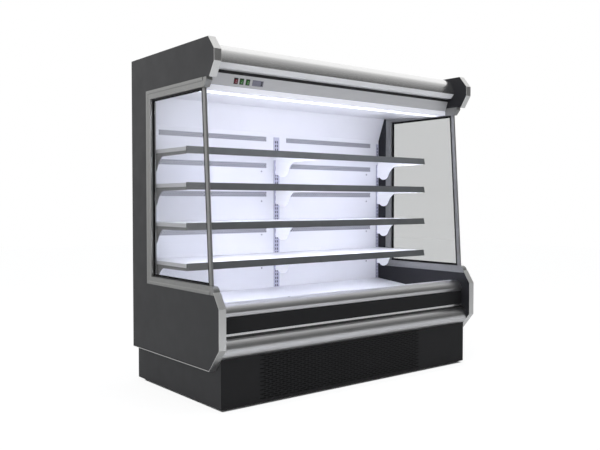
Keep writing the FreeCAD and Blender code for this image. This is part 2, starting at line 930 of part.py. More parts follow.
def make_canopy():
    slant = "canopy_sheet * 0.7"
    node(
        "canopy_profile",
        full_prism(
            "canopy_profile",
            [
                ("canopy_depth - canopy_flange", "canopy_top"),
                ("canopy_depth + bulge_start", "canopy_top"),
                ("canopy_depth + bulge_via_overhang", "canopy_top - bulge_via_drop", "via"),
                ("bulge_reach", "bulge_low"),
                ("bulge_reach - canopy_sheet", "bulge_low"),
                (
                    f"canopy_depth + bulge_via_overhang - {slant}",
                    f"canopy_top - bulge_via_drop - {slant}",
                    "via",
                ),
                ("canopy_depth + bulge_start", "roof_top"),
                ("canopy_depth - canopy_flange", "roof_top"),
            ],
        ),
    )
    node(
        "canopy_infill_strip",
        full_prism(
            "canopy_infill_strip",
            [
                ("bulge_reach", "bulge_low"),
                ("bulge_reach - infill_setback", "infill_level"),
                ("canopy_depth", "infill_level"),
                ("canopy_depth", "infill_level + fascia_sheet"),
                ("bulge_reach - infill_setback - fascia_sheet / 2", "infill_level + fascia_sheet"),
                ("bulge_reach - canopy_sheet", "bulge_low"),
            ],
        ),
    )
    make_fascia()
    node(
        "light_diffuser",
        full_prism(
            "light_diffuser",
            [
                ("fascia_foot_reach", "fascia_foot"),
                ("fascia_foot_reach", "light_low"),
                ("outlet_front", "light_low"),
                ("outlet_front", "light_low + fascia_sheet"),
                ("fascia_foot_reach - fascia_sheet", "light_low + fascia_sheet"),
                ("fascia_foot_reach - fascia_sheet", "fascia_foot"),
            ],
        ),
    )
    make_air_outlet()
    ceiling = full_prism(
        "ceiling",
        [
            ("outlet_back", "light_low"),
            ("ceiling_back_reach", "ceiling_back - panel_sheet"),
            ("ceiling_back_reach", "ceiling_back"),
            ("outlet_back", "light_low + panel_sheet"),
        ],
    )
    slope = full_prism(
        "upper_back",
        [
            ("panel_reach", "panel_top"),
            ("panel_reach + 2 * panel_sheet", "panel_top"),
            ("panel_reach + 2 * panel_sheet", "lip_top"),
            ("ceiling_back_reach", "ceiling_back"),
            ("ceiling_back_reach - 1.5 * panel_sheet", "ceiling_back"),
            ("panel_reach", "lip_top"),
        ],
    )
    group("ceiling_panels", [ceiling, slope])


def make_fascia():
    """The sloping control strip, with an opening for each control."""
    strip = full_prism(
        "fascia_strip",
        [
            ("groove_reach", "infill_level"),
            ("groove_reach", "fascia_top"),
            ("fascia_top_reach", "fascia_top"),
            ("fascia_foot_reach", "fascia_foot"),
            ("fascia_back", "fascia_foot"),
            ("fascia_back", "fascia_foot + fascia_sheet"),
            ("fascia_foot_reach - fascia_sheet", "fascia_foot + fascia_sheet"),
            ("fascia_top_reach - 1.5 * fascia_sheet", "fascia_top - fascia_sheet"),
            ("groove_reach - fascia_sheet", "fascia_top - fascia_sheet"),
            ("groove_reach - fascia_sheet", "infill_level"),
        ],
    )
    openings = [
        tilted_opening(x, "rocker_body_width + 2 * play", "rocker_body_height + 2 * play")
        for x in ("rocker_x_1", "rocker_x_2", "rocker_x_3")
    ]
    openings.append(
        tilted_opening("controller_x", "controller_width - 4", "controller_height - 4")
    )
    node("control_fascia", cut("pierced_fascia", strip, *openings))


def tilted_opening(x, width, height):
    """A block through the fascia, square to its slope."""
    body = doc.addObject("PartDesign::Body", "opening")
    ring = rectangle(f"-({width}) / 2", f"({width}) / 2", f"-({height}) / 2", f"({height}) / 2")
    add_pad(body, "XZ", [ring], "-4 * fascia_sheet", "8 * fascia_sheet")
    return lean(body, x)


def lean(body, x, depth="0", along="0", turn="0"):
    """Sets a body on the fascia's slope: depth is into the fascia, along is up the slope."""
    body.Placement = Placement(Vector(), Rotation(Vector(1, 0, 0), 1))
    bind(body, "Placement.Rotation.Angle", f"fascia_lean + ({turn}) * 1 deg")
    y = f"back - control_reach + ({depth}) * cos(fascia_lean) - ({along}) * sin(fascia_lean)"
    z = f"control_height + ({depth}) * sin(fascia_lean) + ({along}) * cos(fascia_lean)"
    return place(body, x, y, z)


def make_air_outlet():
    """The discharge honeycomb: a shallow block of open cells, three deep."""
    half, cell, wall = value("half_length"), value("outlet_cell"), value("outlet_wall")
    depth = value("outlet_depth")
    rows = max(1, int(depth // cell))
    columns = int(2 * half // cell)
    pitch_x, pitch_y = (2 * half - wall) / columns, (depth - wall) / rows
    fields = []
    for row in range(rows):
        middle = wall / 2 + pitch_y * (row + 0.5)
        holes = [
            window(wall / 2 - half + pitch_x * (column + 0.5), middle, pitch_x - wall, pitch_y - wall)
            for column in range(columns)
        ]
        near = 0 if row == 0 else middle - pitch_y / 2
        far = depth if row == rows - 1 else middle + pitch_y / 2
        fields.append(field(-half, half, near, far, holes))
    corner = Vector(0, value(at_reach("outlet_front")), value("light_low"))
    block_shape = pierced_sheet(
        corner, Vector(1, 0, 0), Vector(0, 1, 0), fields, Vector(0, 0, value("outlet_height"))
    )
    node("air_outlet", made_shape("air_outlet", block_shape))


# ---- front -------------------------------------------------------------------------------------------------


def make_front():
    slant = "bumper_sheet * 0.7"
    node(
        "upper_bumper",
        full_prism(
            "upper_bumper",
            [
                ("bumper_flange_back", "bumper_top"),
                ("tub_depth - bumper_top_setback", "bumper_top"),
                ("tub_depth + bumper_via_overhang", "bumper_top - bumper_via_drop", "via"),
                ("tub_depth + bumper_overhang", "bumper_top - bumper_knee_drop"),
                ("tub_depth + bumper_foot_overhang", "bumper_foot"),
                ("tub_depth + bumper_foot_overhang - bumper_sheet", "bumper_foot"),
                ("tub_depth + bumper_overhang - bumper_sheet", "bumper_top - bumper_knee_drop"),
                (
                    f"tub_depth + bumper_via_overhang - {slant}",
                    f"bumper_top - bumper_via_drop - {slant}",
                    "via",
                ),
                ("tub_depth - bumper_top_setback", "return_top"),
                ("bumper_flange_back", "return_top"),
            ],
        ),
    )
    node(
        "front_panel",
        full_prism(
            "front_panel",
            [
                ("tub_depth", "bumper_foot"),
                ("tub_depth + front_panel_overhang", "bumper_foot"),
                ("tub_depth + front_panel_overhang", "front_panel_low"),
                ("tub_depth", "front_panel_low"),
                ("tub_depth", "front_panel_low + sheet"),
                ("tub_depth + front_panel_overhang - sheet", "front_panel_low + sheet"),
                ("tub_depth + front_panel_overhang - sheet", "bumper_foot - sheet"),
                ("tub_depth", "bumper_foot - sheet"),
            ],
        ),
    )
    ends = ("-half_length", "half_length", "tub_depth")
    bright = block(
        "bright_strip", *ends, "tub_depth + bright_strip_overhang", "bright_low", "front_panel_low"
    )
    dark = block("dark_strip", *ends, "tub_depth + dark_strip_overhang", "dark_low", "bright_low")
    group("front_trim_strips", [bright, dark])
    node(
        "lower_bumper",
        full_prism(
            "lower_bumper",
            [
                ("tub_depth", "dark_low"),
                ("tub_depth + front_panel_overhang", "dark_low"),
                ("round_front", "round_level", "via"),
                ("kick_reach", "kick_top"),
                ("tub_depth - bumper_flange", "kick_top"),
                ("tub_depth - bumper_flange", "plinth_height"),
                ("kick_reach - bumper_sheet", "plinth_height"),
                ("round_front - bumper_sheet", "round_level", "via"),
                ("tub_depth + front_panel_overhang", "dark_low - bumper_sheet"),
                ("tub_depth", "dark_low - bumper_sheet"),
            ],
        ),
    )
    make_return_grille()


def make_return_grille():
    """The slotted sheet behind the upper bumper, folded down to carry the front of the deck."""
    half, sheet = value("half_length"), value("sheet")
    pitch, slot = value("return_slot_pitch"), value("return_slot_width")
    count = int((2 * half - pitch) // pitch)
    centres = [(number - (count - 1) / 2) * pitch for number in range(count)]
    wall, sill = value("tub_depth - front_wall"), value("return_sill")
    top, low = value("front_wall_top"), value("deck_foot - play")
    back = value("back")

    slots = [window(x, -sill / 2, slot, sill * 0.7) for x in centres]
    sill_sheet = pierced_sheet(
        Vector(0, back - wall, top),
        Vector(1, 0, 0),
        Vector(0, -1, 0),
        [field(-half, half, -sill, value("front_wall - bumper_top_setback"), slots)],
        Vector(0, 0, sheet),
    )
    slots = [window(x, (low + top) / 2, slot, (top - low) * 0.6) for x in centres[::2]]
    face_sheet = pierced_sheet(
        Vector(0, back - wall + sill - sheet, 0),
        Vector(1, 0, 0),
        Vector(0, 0, 1),
        [field(-half, half, low, top, slots)],
        Vector(0, sheet, 0),
    )
    ledge_depth = value("deck_lip")
    ledge = Part.makeBox(
        2 * half, ledge_depth, sheet, Vector(-half, back - wall + sill - sheet, low - sheet)
    )
    grille = sill_sheet.fuse([face_sheet, ledge]).removeSplitter()
    node("return_air_grille", made_shape("return_air_grille", grille))


# ---- deck and shelves --------------------------------------------------------------------------------------


def make_deck():
    under = "deck_back_level - sheet"
    ring = [
        ("deck_back_reach", "deck_back_level"),
        ("deck_front_reach", "deck_front_level"),
        ("deck_front_reach", "deck_foot"),
        ("deck_front_reach - sheet", "deck_foot"),
        ("deck_front_reach - sheet", "deck_front_level - sheet"),
        ("deck_back_reach + sheet", under),
        ("deck_back_reach + sheet", "coil_top + play"),
        ("deck_back_reach", "coil_top + play"),
    ]
    length = "half_length - 1.5 * deck_gap"
    node("deck_tray_left", prism("deck_tray_left", [ring], "deck_gap - half_length", length))
    node("deck_tray_right", prism("deck_tray_right", [ring], "deck_gap / 2", length))


def make_shelves():
    rails = []
    brackets = []
    lamps = []
    for number in (1, 2, 3, 4):
        top = f"slot_first + shelf_slot_{number} * slot_pitch + hook_drop"
        trays = []
        for x0, x1 in (
            ("shelf_end_gap - half_length", "-deck_gap / 2"),
            ("deck_gap / 2", "half_length - shelf_end_gap"),
        ):
            trays.append(shelf_tray(x0, x1, top))
            rails.append(shelf_rail(x0, x1, top))
            lamps.append(
                block(
                    "shelf_lamp",
                    f"{x0} + 4 * shelf_end_gap",
                    f"{x1} - 4 * shelf_end_gap",
                    "shelf_reach - 3 * lamp_width / 2",
                    "shelf_reach - lamp_width / 2",
                    f"{top} - 2 * shelf_sheet - 1.6 * shelf_sheet - lamp_height",
                    f"{top} - 2 * shelf_sheet - 1.6 * shelf_sheet",
                )
            )
        for x in (
            "bracket_end_inset - half_length",
            "-slot_spacing / 2",
            "slot_spacing / 2",
            "half_length - bracket_end_inset",
        ):
            brackets.append(shelf_bracket(x, top))
        group(f"shelf_trays_{number}", trays)
    group("shelf_rails", rails)
    group("shelf_brackets", brackets)
    canopy_lamp = block(
        "canopy_lamp",
        "4 * shelf_end_gap - half_length",
        "half_length - 4 * shelf_end_gap",
        "fascia_back",
        "fascia_back + lamp_width",
        "fascia_foot - lamp_height",
        "fascia_foot",
    )
    group("led_lamps", lamps + [canopy_lamp])


def shelf_tray(x0, x1, top):
    """A folded pan, open below, whose skirt hides the bracket's top."""
    deck = f"{top} - 3.6 * shelf_sheet + shelf_sheet"
    outer = block("tray", x0, x1, "shelf_depth_back", "shelf_reach", f"{deck} - shelf_skirt", deck)
    inner = block(
        "tray_inside",
        f"{x0} + shelf_sheet",
        f"{x1} - shelf_sheet",
        "shelf_depth_back + shelf_sheet",
        "shelf_reach - shelf_sheet",
        f"{deck} - 2 * shelf_skirt",
        f"{deck} - shelf_sheet",
    )
    return cut("folded_tray", outer, inner)


def shelf_rail(x0, x1, top):
    """The price rail on the tray's front: a leaning face between two lips that grip a ticket."""
    start = "shelf_reach"
    face = f"{start} + 2 * rail_sheet"
    foot = f"{top} - rail_height"
    ring = [
        (start, top),
        (f"{face} + rail_lip", top),
        (f"{face} + rail_lip", f"{top} - 2 * rail_lip"),
        (face, f"{top} - 2 * rail_lip"),
        (f"{face} + rail_lean - rail_lip", f"{foot} + 2 * rail_lip"),
        (f"{face} + rail_lean", f"{foot} + 2 * rail_lip"),
        (f"{face} + rail_lean", foot),
        (start, foot),
    ]
    return prism("rail", [ring], x0, f"{x1} - ({x0})")


def shelf_bracket(x, top):
    """A plate that hooks into two slots and runs forward under the tray, with a lobed heel."""
    under = f"{top} - 3.6 * shelf_sheet"
    back_edge = []
    for hook in ("hook_drop", "hook_drop + 2 * slot_pitch"):
        low = f"{top} - ({hook}) - slot_length / 2"
        back_edge += [
            ("web_reach", f"{low} + hook_height"),
            ("web_reach - hook_depth", f"{low} + hook_height"),
            ("web_reach - hook_depth", low),
            ("web_reach", low),
        ]
    ring = [
        ("shelf_depth_back + 2 * shelf_sheet", f"{top} - shelf_skirt - 4 * shelf_sheet"),
        ("web_reach", f"{top} - shelf_skirt - 4 * shelf_sheet"),
        *back_edge,
        ("web_reach", f"{top} - bracket_heel - 2"),
        ("web_reach + 27", f"{top} - bracket_heel"),
        ("web_reach + 75", f"{top} - bracket_heel - 18", "via"),
        ("web_reach + 119", f"{top} - bracket_heel + 9"),
        ("web_reach + 139", f"{top} - bracket_heel + 43", "via"),
        ("web_reach + 186", f"{top} - bracket_toe - 3"),
        ("shelf_reach - 6 * shelf_sheet", f"{top} - bracket_toe"),
        ("shelf_reach - 6 * shelf_sheet", under),
        ("shelf_depth_back + 2 * shelf_sheet", under),
    ]
    return prism("bracket", [ring], f"{x} - bracket_sheet / 2", "bracket_sheet")


def make_screws():
    """Round heads on the back panels, one column near the right edge of each."""
    heads = []
    for number in (1, 2, 3, 4):
        level = f"slot_first + shelf_slot_{number} * slot_pitch + hook_drop - screw_drop"
        for x in ("-upright_width / 2 - screw_inset", "half_length - end_upright_width - screw_inset"):
            heads.append(rod("screw", x, "panel_reach", level, "forward", "screw_radius", "screw_head"))
    group("panel_screws", heads)


# ---- fans and cold air side --------------------------------------------------------------------------------


def make_fan(name, x, face, away, level, radius):
    """A motor on a strut across a fan hole. Returns the motor; the blades are a node of their own.

    face is the reach of the plate's face under the strut. away is "forward" or "backward", the side that the
    motor is on; the blades turn on the shaft's end on the other side.
    """
    forward = away == "forward"
    toward = "backward" if forward else "forward"
    sign = 1 if forward else -1
    low, high = (face, f"{face} + strut_sheet") if forward else (f"{face} - strut_sheet", face)
    reach = f"{radius} + 6 * fan_clearance"
    strut = block(
        name + "_strut", f"{x} - ({reach})", f"{x} + {reach}", low, high,
        f"{level} - strut_height / 2", f"{level} + strut_height / 2",
    )
    outer = f"{face} + {sign} * strut_sheet"
    motor = rod(name + "_motor", x, outer, level, away, "motor_radius", "motor_length")
    shaft = rod(
        name + "_shaft", x, outer, level, toward, "shaft_radius",
        "strut_sheet + hub_length + 2 * fan_clearance"
    )
    make_blades(name, x, f"{face} - {sign} * (fan_clearance + hub_length / 2)", level, radius)
    return fuse(name + "_motor_unit", strut, motor, shaft)


def make_blades(name, x, middle, level, radius):
    """A bored hub and five pitched blades, drawn round the body's own Y axis."""
    body = doc.addObject("PartDesign::Body", name)
    hub = body.newObject("Sketcher::SketchObject", name + "_hub_outline")
    hub.AttachmentSupport = ([f for f in body.Origin.OriginFeatures if f.Role == "XZ_Plane"][0], [""])
    hub.MapMode = "FlatFace"
    bind(hub, "AttachmentOffset.Base.z", "-hub_length / 2")
    for size in ("hub_radius", "shaft_radius + shaft_clearance"):
        circle = hub.addGeometry(Part.Circle(Vector(), Vector(0, 0, 1), value(size)), False)
        hub.addConstraint(Sketcher.Constraint("Coincident", circle, 3, -1, 1))
        number = hub.addConstraint(Sketcher.Constraint("Radius", circle, value(size)))
        bind(hub, f"Constraints[{number}]", size)
    boss = body.newObject("PartDesign::Pad", name + "_hub")
    boss.Profile = hub
    bind(boss, "Length", "hub_length")

    along, across = "blade_chord / 2", "blade_sheet / 2"
    corners = [(1, 1), (-1, 1), (-1, -1), (1, -1)]
    ring = [
        (
            f"{a} * {along} * cos(blade_angle) - {b} * {across} * sin(blade_angle)",
            f"{a} * {along} * sin(blade_angle) + {b} * {across} * cos(blade_angle)",
        )
        for a, b in corners
    ]
    add_pad(body, "XY", [ring], "hub_radius * 0.8", f"{radius} - hub_radius * 0.8")
    blade = body.Tip
    doc.recompute()
    pattern = body.newObject("PartDesign::PolarPattern", name + "_blades")
    pattern.Originals = [blade]
    pattern.Axis = ([f for f in body.Origin.OriginFeatures if f.Role == "Y_Axis"][0], [""])
    pattern.Angle = 360
    pattern.Occurrences = 5
    body.Tip = pattern
    place(body, x, at_reach(middle), level)
    node(name, body)


def make_cold_side():
    core = block(
        "coil_core", "-coil_half_length", "coil_half_length", "coil_reach", "coil_reach + coil_depth",
        "tub_floor + 6 * sheet", "coil_top - 6 * sheet",
    )
    plates = [
        block(
            "coil_plate", x0, x1, "deck_back_reach", "coil_reach + coil_depth + 6 * sheet", "tub_floor",
            "coil_top"
        )
        for x0, x1 in (
            ("-coil_half_length - sheet", "-coil_half_length"),
            ("-2 * sheet", "2 * sheet"),
            ("coil_half_length", "coil_half_length + sheet"),
        )
    ]
    node("evaporator_coil", fuse("coil", core, *plates))

    plate = block(
        "plate_blank", "-half_length", "half_length", "fan_plate_reach - sheet", "fan_plate_reach",
        "tub_floor",
        "deck_back_level - sheet - play - deck_fall * (fan_plate_reach - deck_back_reach)",
    )
    places = (("left", "-fan_spacing"), ("centre", "0"), ("right", "fan_spacing"))
    holes = [
        rod(
            "fan_hole", x, "fan_plate_reach - 2 * sheet", "fan_level", "forward",
            "fan_radius + fan_clearance", "4 * sheet"
        )
        for _, x in places
    ]
    node("fan_plate", cut("pierced_fan_plate", plate, *holes))
    motors = [
        make_fan("fan_blade_" + side, x, "fan_plate_reach", "forward", "fan_level", "fan_radius") for side,
        x in places
    ]
    motors.append(
        make_fan(
            "condenser_fan_blade", "condenser_middle", "shroud_reach", "backward", "bay_middle",
            "condenser_fan_radius"
        )
    )
    group("fan_motors", motors)

    tube = rod("drain_tube", "drain_x", "drain_reach", "bay_floor + 1.5 * tray_height", "up", "drain_radius",
               "tub_floor - bay_floor - 1.5 * tray_height")
    rim = rod("drain_rim", "drain_x", "drain_reach", "tub_floor", "up", "drain_radius * 1.5", "drain_wall")
    bore = rod(
        "drain_bore", "drain_x", "drain_reach", "bay_floor", "up", "drain_radius - drain_wall",
        "front_wall_top"
    )
    x0, x1 = "drain_x - tray_length / 2", "drain_x + tray_length / 2"
    near, far = "drain_reach - tray_depth / 2", "drain_reach + tray_depth / 2"
    outer = block("pan", x0, x1, near, far, "bay_floor", "bay_floor + tray_height")
    hollow = block(
        "pan_inside", f"{x0} + sheet", f"{x1} - sheet", f"{near} + sheet", f"{far} - sheet",
        "bay_floor + sheet", "bay_floor + 2 * tray_height",
    )
    group("drain_parts", [cut("bored_drain", fuse("drain", tube, rim), bore), cut("open_pan", outer, hollow)])


# ---- machine bay -------------------------------------------------------------------------------------------


def make_machine_bay():
    core = block(
        "condenser_core", "condenser_left + sheet", "condenser_right - sheet", "condenser_reach",
        "condenser_reach + condenser_depth", "bay_floor + 3 * sheet",
        "bay_floor + condenser_height - 3 * sheet",
    )
    plates = [
        block(
            "condenser_plate", x0, x1, "condenser_reach", "condenser_reach + condenser_depth",
            "bay_floor", "bay_floor + condenser_height",
        )
        for x0, x1 in (
            ("condenser_left", "condenser_left + sheet"), ("condenser_right - sheet", "condenser_right"),
        )
    ]
    coil = fuse("condenser", core, *plates)

    ends = ("condenser_left", "condenser_right")
    box = block(
        "shroud_box", *ends, "shroud_reach", "condenser_reach", "bay_floor", "bay_floor + condenser_height"
    )
    inside = block(
        "shroud_inside", "condenser_left + sheet", "condenser_right - sheet", "shroud_reach + sheet",
        "condenser_reach + sheet", "bay_floor + sheet", "bay_floor + condenser_height - sheet",
    )
    hole = rod(
        "shroud_hole", "condenser_middle", "shroud_reach - sheet", "bay_middle", "forward",
        "condenser_fan_radius + fan_clearance", "4 * sheet",
    )
    group("condenser_coil", [coil, cut("shroud", box, inside, hole)])
    make_compressor()
    make_pipes()
    make_electrical_box()


def make_compressor():
    """A welded can with domed ends, on a foot plate."""
    body = doc.addObject("PartDesign::Body", "can")
    radius, tall, foot = "compressor_radius", "compressor_height", "pipe_bend / 2"
    dome = f"{radius} / 4"
    ring = [
        ("0", foot),
        (f"{radius} * 0.6", foot),
        (f"{radius} * 0.88", f"{foot} + {dome} * 0.35", "via"),
        (radius, f"{foot} + {dome}"),
        (radius, f"{tall} - {dome}"),
        (f"{radius} * 0.88", f"{tall} - {dome} * 0.35", "via"),
        (f"{radius} * 0.6", tall),
        ("0", tall),
    ]
    sketch = add_sketch(body, "XZ", [ring], "0")
    turn = body.newObject("PartDesign::Revolution", "can_turn")
    turn.Profile = sketch
    turn.ReferenceAxis = (sketch, ["V_Axis"])
    turn.Angle = 360
    place(body, "compressor_x", at_reach("compressor_reach"), "bay_floor")
    foot_plate = block(
        "can_foot", f"compressor_x - {radius}", f"compressor_x + {radius}",
        f"compressor_reach - {radius} * 0.6", f"compressor_reach + {radius} * 0.6", "bay_floor",
        f"bay_floor + {foot} + {dome} / 4",
    )
    node("compressor", fuse("compressor_unit", body, foot_plate))


def pipe(name, points):
    """A bent tube through the given points, with one bend radius."""
    radius, bend = value("pipe_radius"), value("pipe_bend")
    spots = [Vector(value(x), value(at_reach(reach)), value(z)) for x, reach, z in points]
    edges = []
    start = spots[0]
    for here, there in zip(spots[1:], spots[2:]):
        inward, outward = (here - start).normalize(), (there - here).normalize()
        first, last = here - inward * bend, here + outward * bend
        middle = here + (outward - inward) * bend * (1 - 0.5**0.5)
        edges += [Part.makeLine(start, first), Part.Arc(first, middle, last).toShape()]
        start = last
    edges.append(Part.makeLine(start, spots[-1]))
    path = Part.Wire(edges)
    ring = Part.Wire([Part.makeCircle(radius, spots[0], spots[1] - spots[0])])
    return made_shape(name, path.makePipeShell([ring], True, False))


def make_pipes():
    """Discharge, liquid and suction lines, with the filter drier in the liquid line."""
    level, low = "bay_floor + compressor_height * 0.7", "bay_floor + 2 * pipe_bend"
    line = "condenser_reach + condenser_depth * 0.4"
    liquid = "condenser_reach + condenser_depth * 0.8"
    turn_x = "compressor_x - compressor_radius - 8 * pipe_bend"
    drier_x = "drain_x + 2 * pipe_bend"
    group(
        "refrigerant_pipes",
        [
            pipe(
                "discharge_pipe",
                [
                    ("compressor_x - compressor_radius", "compressor_reach", level),
                    (turn_x, "compressor_reach", level),
                    (turn_x, line, level),
                    ("condenser_right", line, level),
                ],
            ),
            rod(
                "liquid_pipe", "condenser_right", liquid, low, "x", "pipe_radius",
                f"{drier_x} - condenser_right"
            ),
            rod("drier", drier_x, liquid, low, "x", "drier_radius", "drier_length"),
            pipe(
                "riser_pipe",
                [
                    (f"{drier_x} + drier_length", liquid, low),
                    (f"{drier_x} + drier_length + 2 * pipe_bend", liquid, low),
                    (f"{drier_x} + drier_length + 2 * pipe_bend", liquid, "plinth_height"),
                ],
            ),
            pipe(
                "suction_pipe",
                [
                    ("compressor_x + compressor_radius", "compressor_reach", low),
                    ("compressor_x + compressor_radius + 2 * pipe_bend", "compressor_reach", low),
                    ("compressor_x + compressor_radius + 2 * pipe_bend", "compressor_reach", "plinth_height"),
                ],
            ),
        ],
    )


def make_electrical_box():
    x0, x1 = "box_left", "box_left + box_width"
    near, far = "box_reach", "box_reach + box_depth"
    top = "bay_floor + box_height"
    outer = block("case", x0, x1, near, far, "bay_floor", top)
    hollow = block(
        "case_inside", f"{x0} + sheet", f"{x1} - sheet", f"{near} + sheet", f"{far} + sheet",
        "bay_floor + sheet", f"{top} - sheet",
    )
    lid = block("lid", x0, x1, far, f"{far} + sheet", "bay_floor", top)
    group("electrical_box", [cut("case_shell", outer, hollow), lid])

    head = doc.addObject("Part::Prism", "gland_head")
    head.Polygon = 6
    bind(head, "Circumradius", "gland_radius * 1.5")
    bind(head, "Height", "gland_radius")
    place(head, "gland_x", at_reach("gland_reach"), "rail_top - gland_radius")
    thread = rod(
        "gland_thread", "gland_x", "gland_reach", "rail_top - gland_radius", "up", "gland_radius",
        "base_plate + 2.5 * gland_radius",
    )
    nut = doc.addObject("Part::Prism", "gland_nut")
    nut.Polygon = 6
    bind(nut, "Circumradius", "gland_radius * 1.5")
    bind(nut, "Height", "gland_radius / 2")
    place(nut, "gland_x", at_reach("gland_reach"), "bay_floor")
    bore = rod("gland_bore", "gland_x", "gland_reach", "0", "up", "gland_bore", "plinth_height")
    node("cable_gland", cut("bored_gland", fuse("gland", head, thread, nut), bore))


# ---- controls ----------------------------------------------------------------------------------------------


def cut_pocket(body, ring, start, length):
    """Takes a block out of a body, from a depth behind its face toward the front."""
    pocket = body.newObject("PartDesign::Pocket", body.Name + "_pocket")
    pocket.Profile = add_sketch(body, "XZ", [ring], start)
    pocket.Reversed = True
    bind(pocket, "Length", length)


def centred(width, height, x="0", z="0"):
    return rectangle(
        f"{x} - ({width}) / 2", f"{x} + ({width}) / 2", f"{z} - ({height}) / 2", f"{z} + ({height}) / 2"
    )


def make_rockers():
    bezels = []
    for number in (1, 2, 3):
        x = f"rocker_x_{number}"
        bezel = doc.addObject("PartDesign::Body", "bezel")
        flange = centred("rocker_body_width + 2 * rocker_flange", "rocker_body_height + 2 * rocker_flange")
        add_pad(bezel, "XZ", [flange], "0", "sheet")
        add_pad(
            bezel, "XZ", [centred("rocker_body_width", "rocker_body_height")], "-rocker_depth",
            "rocker_depth"
        )
        opening = centred("rocker_body_width - 2 * rocker_wall", "rocker_body_height - 2 * rocker_wall")
        cut_pocket(bezel, opening, "-rocker_depth + 2 * rocker_wall", "rocker_depth + sheet")
        bezels.append(lean(bezel, x))

        rocker = doc.addObject("PartDesign::Body", "rocker")
        half = "(rocker_body_height / 2 - rocker_wall - 6 * play)"
        front = "(-rocker_pivot - 2 * sheet)"
        ring = [
            (front, "0"),
            (f"{front} - {half} * tan(rocker_tilt)", f"-{half}"),
            ("-rocker_pivot / 2", f"-{half}"),
            ("rocker_pivot / 2", f"-{half} / 2"),
            ("rocker_pivot / 2", f"{half} / 2"),
            ("-rocker_pivot / 2", half),
            (f"{front} - {half} * tan(rocker_tilt)", half),
        ]
        width = "(rocker_body_width - 2 * rocker_wall - 2 * play)"
        add_pad(rocker, "YZ", [ring], f"-{width} / 2", width)
        node(f"rocker_{number}", lean(rocker, x, depth="rocker_pivot", turn="rocker_tilt"))
    group("rocker_bezels", bezels)


def make_controller():
    body = doc.addObject("PartDesign::Body", "controller")
    add_pad(body, "XZ", [centred("controller_width", "controller_height")], "0", "controller_rim")
    inner = centred("controller_width - 5", "controller_height - 5")
    add_pad(body, "XZ", [inner], "-controller_depth", "controller_depth")
    screen = centred("controller_width * 0.6", "controller_height * 0.6", x="-controller_width * 0.13")
    cut_pocket(body, screen, "controller_rim - play", "2 * controller_rim")
    for number, row in enumerate((1, 0, -1), start=1):
        level = f"{row} * button_pitch"
        hole = centred("button_width + 2 * play", "button_height + 2 * play", x="button_x", z=level)
        cut_pocket(body, hole, "-3 * controller_rim", "6 * controller_rim")
        button = doc.addObject("PartDesign::Body", "button")
        add_pad(
            button, "XZ", [centred("button_width", "button_height")], "-controller_rim",
            "2 * controller_rim + button_travel"
        )
        node(f"controller_button_{number}", lean(button, "controller_x + button_x", along=level))
    node("controller", lean(body, "controller_x"))


# ---- build, check and write --------------------------------------------------------------------------------


def check_document():
    for thing in doc.Objects:
        if "Invalid" in thing.State or "Error" in thing.State:
            raise RuntimeError(f"{thing.Name} did not compute: {thing.State}")
    for thing in NODES:
        if thing.Shape.isNull() or not thing.Shape.isValid() or not thing.Shape.Solids:
            raise RuntimeError(f"{thing.Label} has no valid solid")


def write_parts():
    os.makedirs("parts", exist_ok=True)
    for thing in NODES:
        thing.Shape.exportStep(os.path.join("parts", thing.Label + ".step"))


fill_sheet()
make_base()
make_plinth()
make_body()
make_end_panels()
make_side_windows()
make_back_panels()
make_uprights()
make_canopy()
make_front()
make_deck()
make_shelves()
make_screws()
make_cold_side()
make_machine_bay()
make_rockers()
make_controller()
doc.recompute()
check_document()
write_parts()
print(len(NODES), "nodes written")
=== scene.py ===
"""The look of an open multideck display fridge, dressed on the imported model. Lengths are in metres."""

import math

import bmesh
import bpy
from mathutils import Matrix, Vector


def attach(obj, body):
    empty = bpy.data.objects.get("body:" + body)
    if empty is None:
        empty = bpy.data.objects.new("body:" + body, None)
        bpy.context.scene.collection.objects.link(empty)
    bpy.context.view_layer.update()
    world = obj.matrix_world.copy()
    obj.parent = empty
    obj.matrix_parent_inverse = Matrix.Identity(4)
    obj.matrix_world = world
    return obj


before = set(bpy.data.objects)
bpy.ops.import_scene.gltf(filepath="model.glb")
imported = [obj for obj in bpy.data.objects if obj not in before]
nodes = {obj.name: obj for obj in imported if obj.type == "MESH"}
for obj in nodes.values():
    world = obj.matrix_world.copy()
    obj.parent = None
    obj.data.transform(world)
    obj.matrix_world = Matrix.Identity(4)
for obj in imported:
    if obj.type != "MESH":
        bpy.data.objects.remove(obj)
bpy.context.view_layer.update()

# The photograph's camera. The picture is 600 x 450 pixels.
CAMERA_PLACE = (-3.075, -3.750, 1.122)
CAMERA_TURN = (88.23, 0.0, -38.46)
CAMERA_LENS = 43.85
SENSOR_WIDTH = 36.0

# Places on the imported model
BACK_EDGE = 0.499  # the back edge of the end panels, from which a reach is measured forward
WINDOW_FACE = 1.0408  # the outside of the side windows' frames
INNER_FACE = 1.0008  # just past the end panels' inner faces; inward of this the coat is painted darker, as shade
FASCIA_LEAN = math.atan(23 / 65)  # the control strip's slope
CONTROL_Y = -0.29932
CONTROL_Z = 1.803
CONTROLLER_X = -0.6435
GROOVE_LEVEL = 1.8362  # the groove over the control strip starts here; above it the strip is painted near black, as shade
STRIP_SPLIT = 0.399  # the bright strip ends here, and the painted shade of the gap over the lower bumper starts
DUCT_START, DUCT_END = 0.392, 0.45  # the air duct behind the perforated panels, painted near black as shade
UPRIGHT_FACE = 0.3868  # just behind the uprights' front face; behind it, inside the slots, the coat is painted near black as shade
BASE_FOLD = -0.452  # the base plate's folded front edge is in front of this, and is painted near black as shade
BAND_START, BAND_END = 0.087, 0.913  # the perforated bands' ends, from the middle; between them the bands are painted grey as shade
ROCKERS = {"rocker_1": -0.793, "rocker_2": -0.7545, "rocker_3": -0.7125}
SHADE_HALF_LENGTH, SHADE_HALF_DEPTH = 0.99, 0.46  # the floor under the cabinet doesn't glow
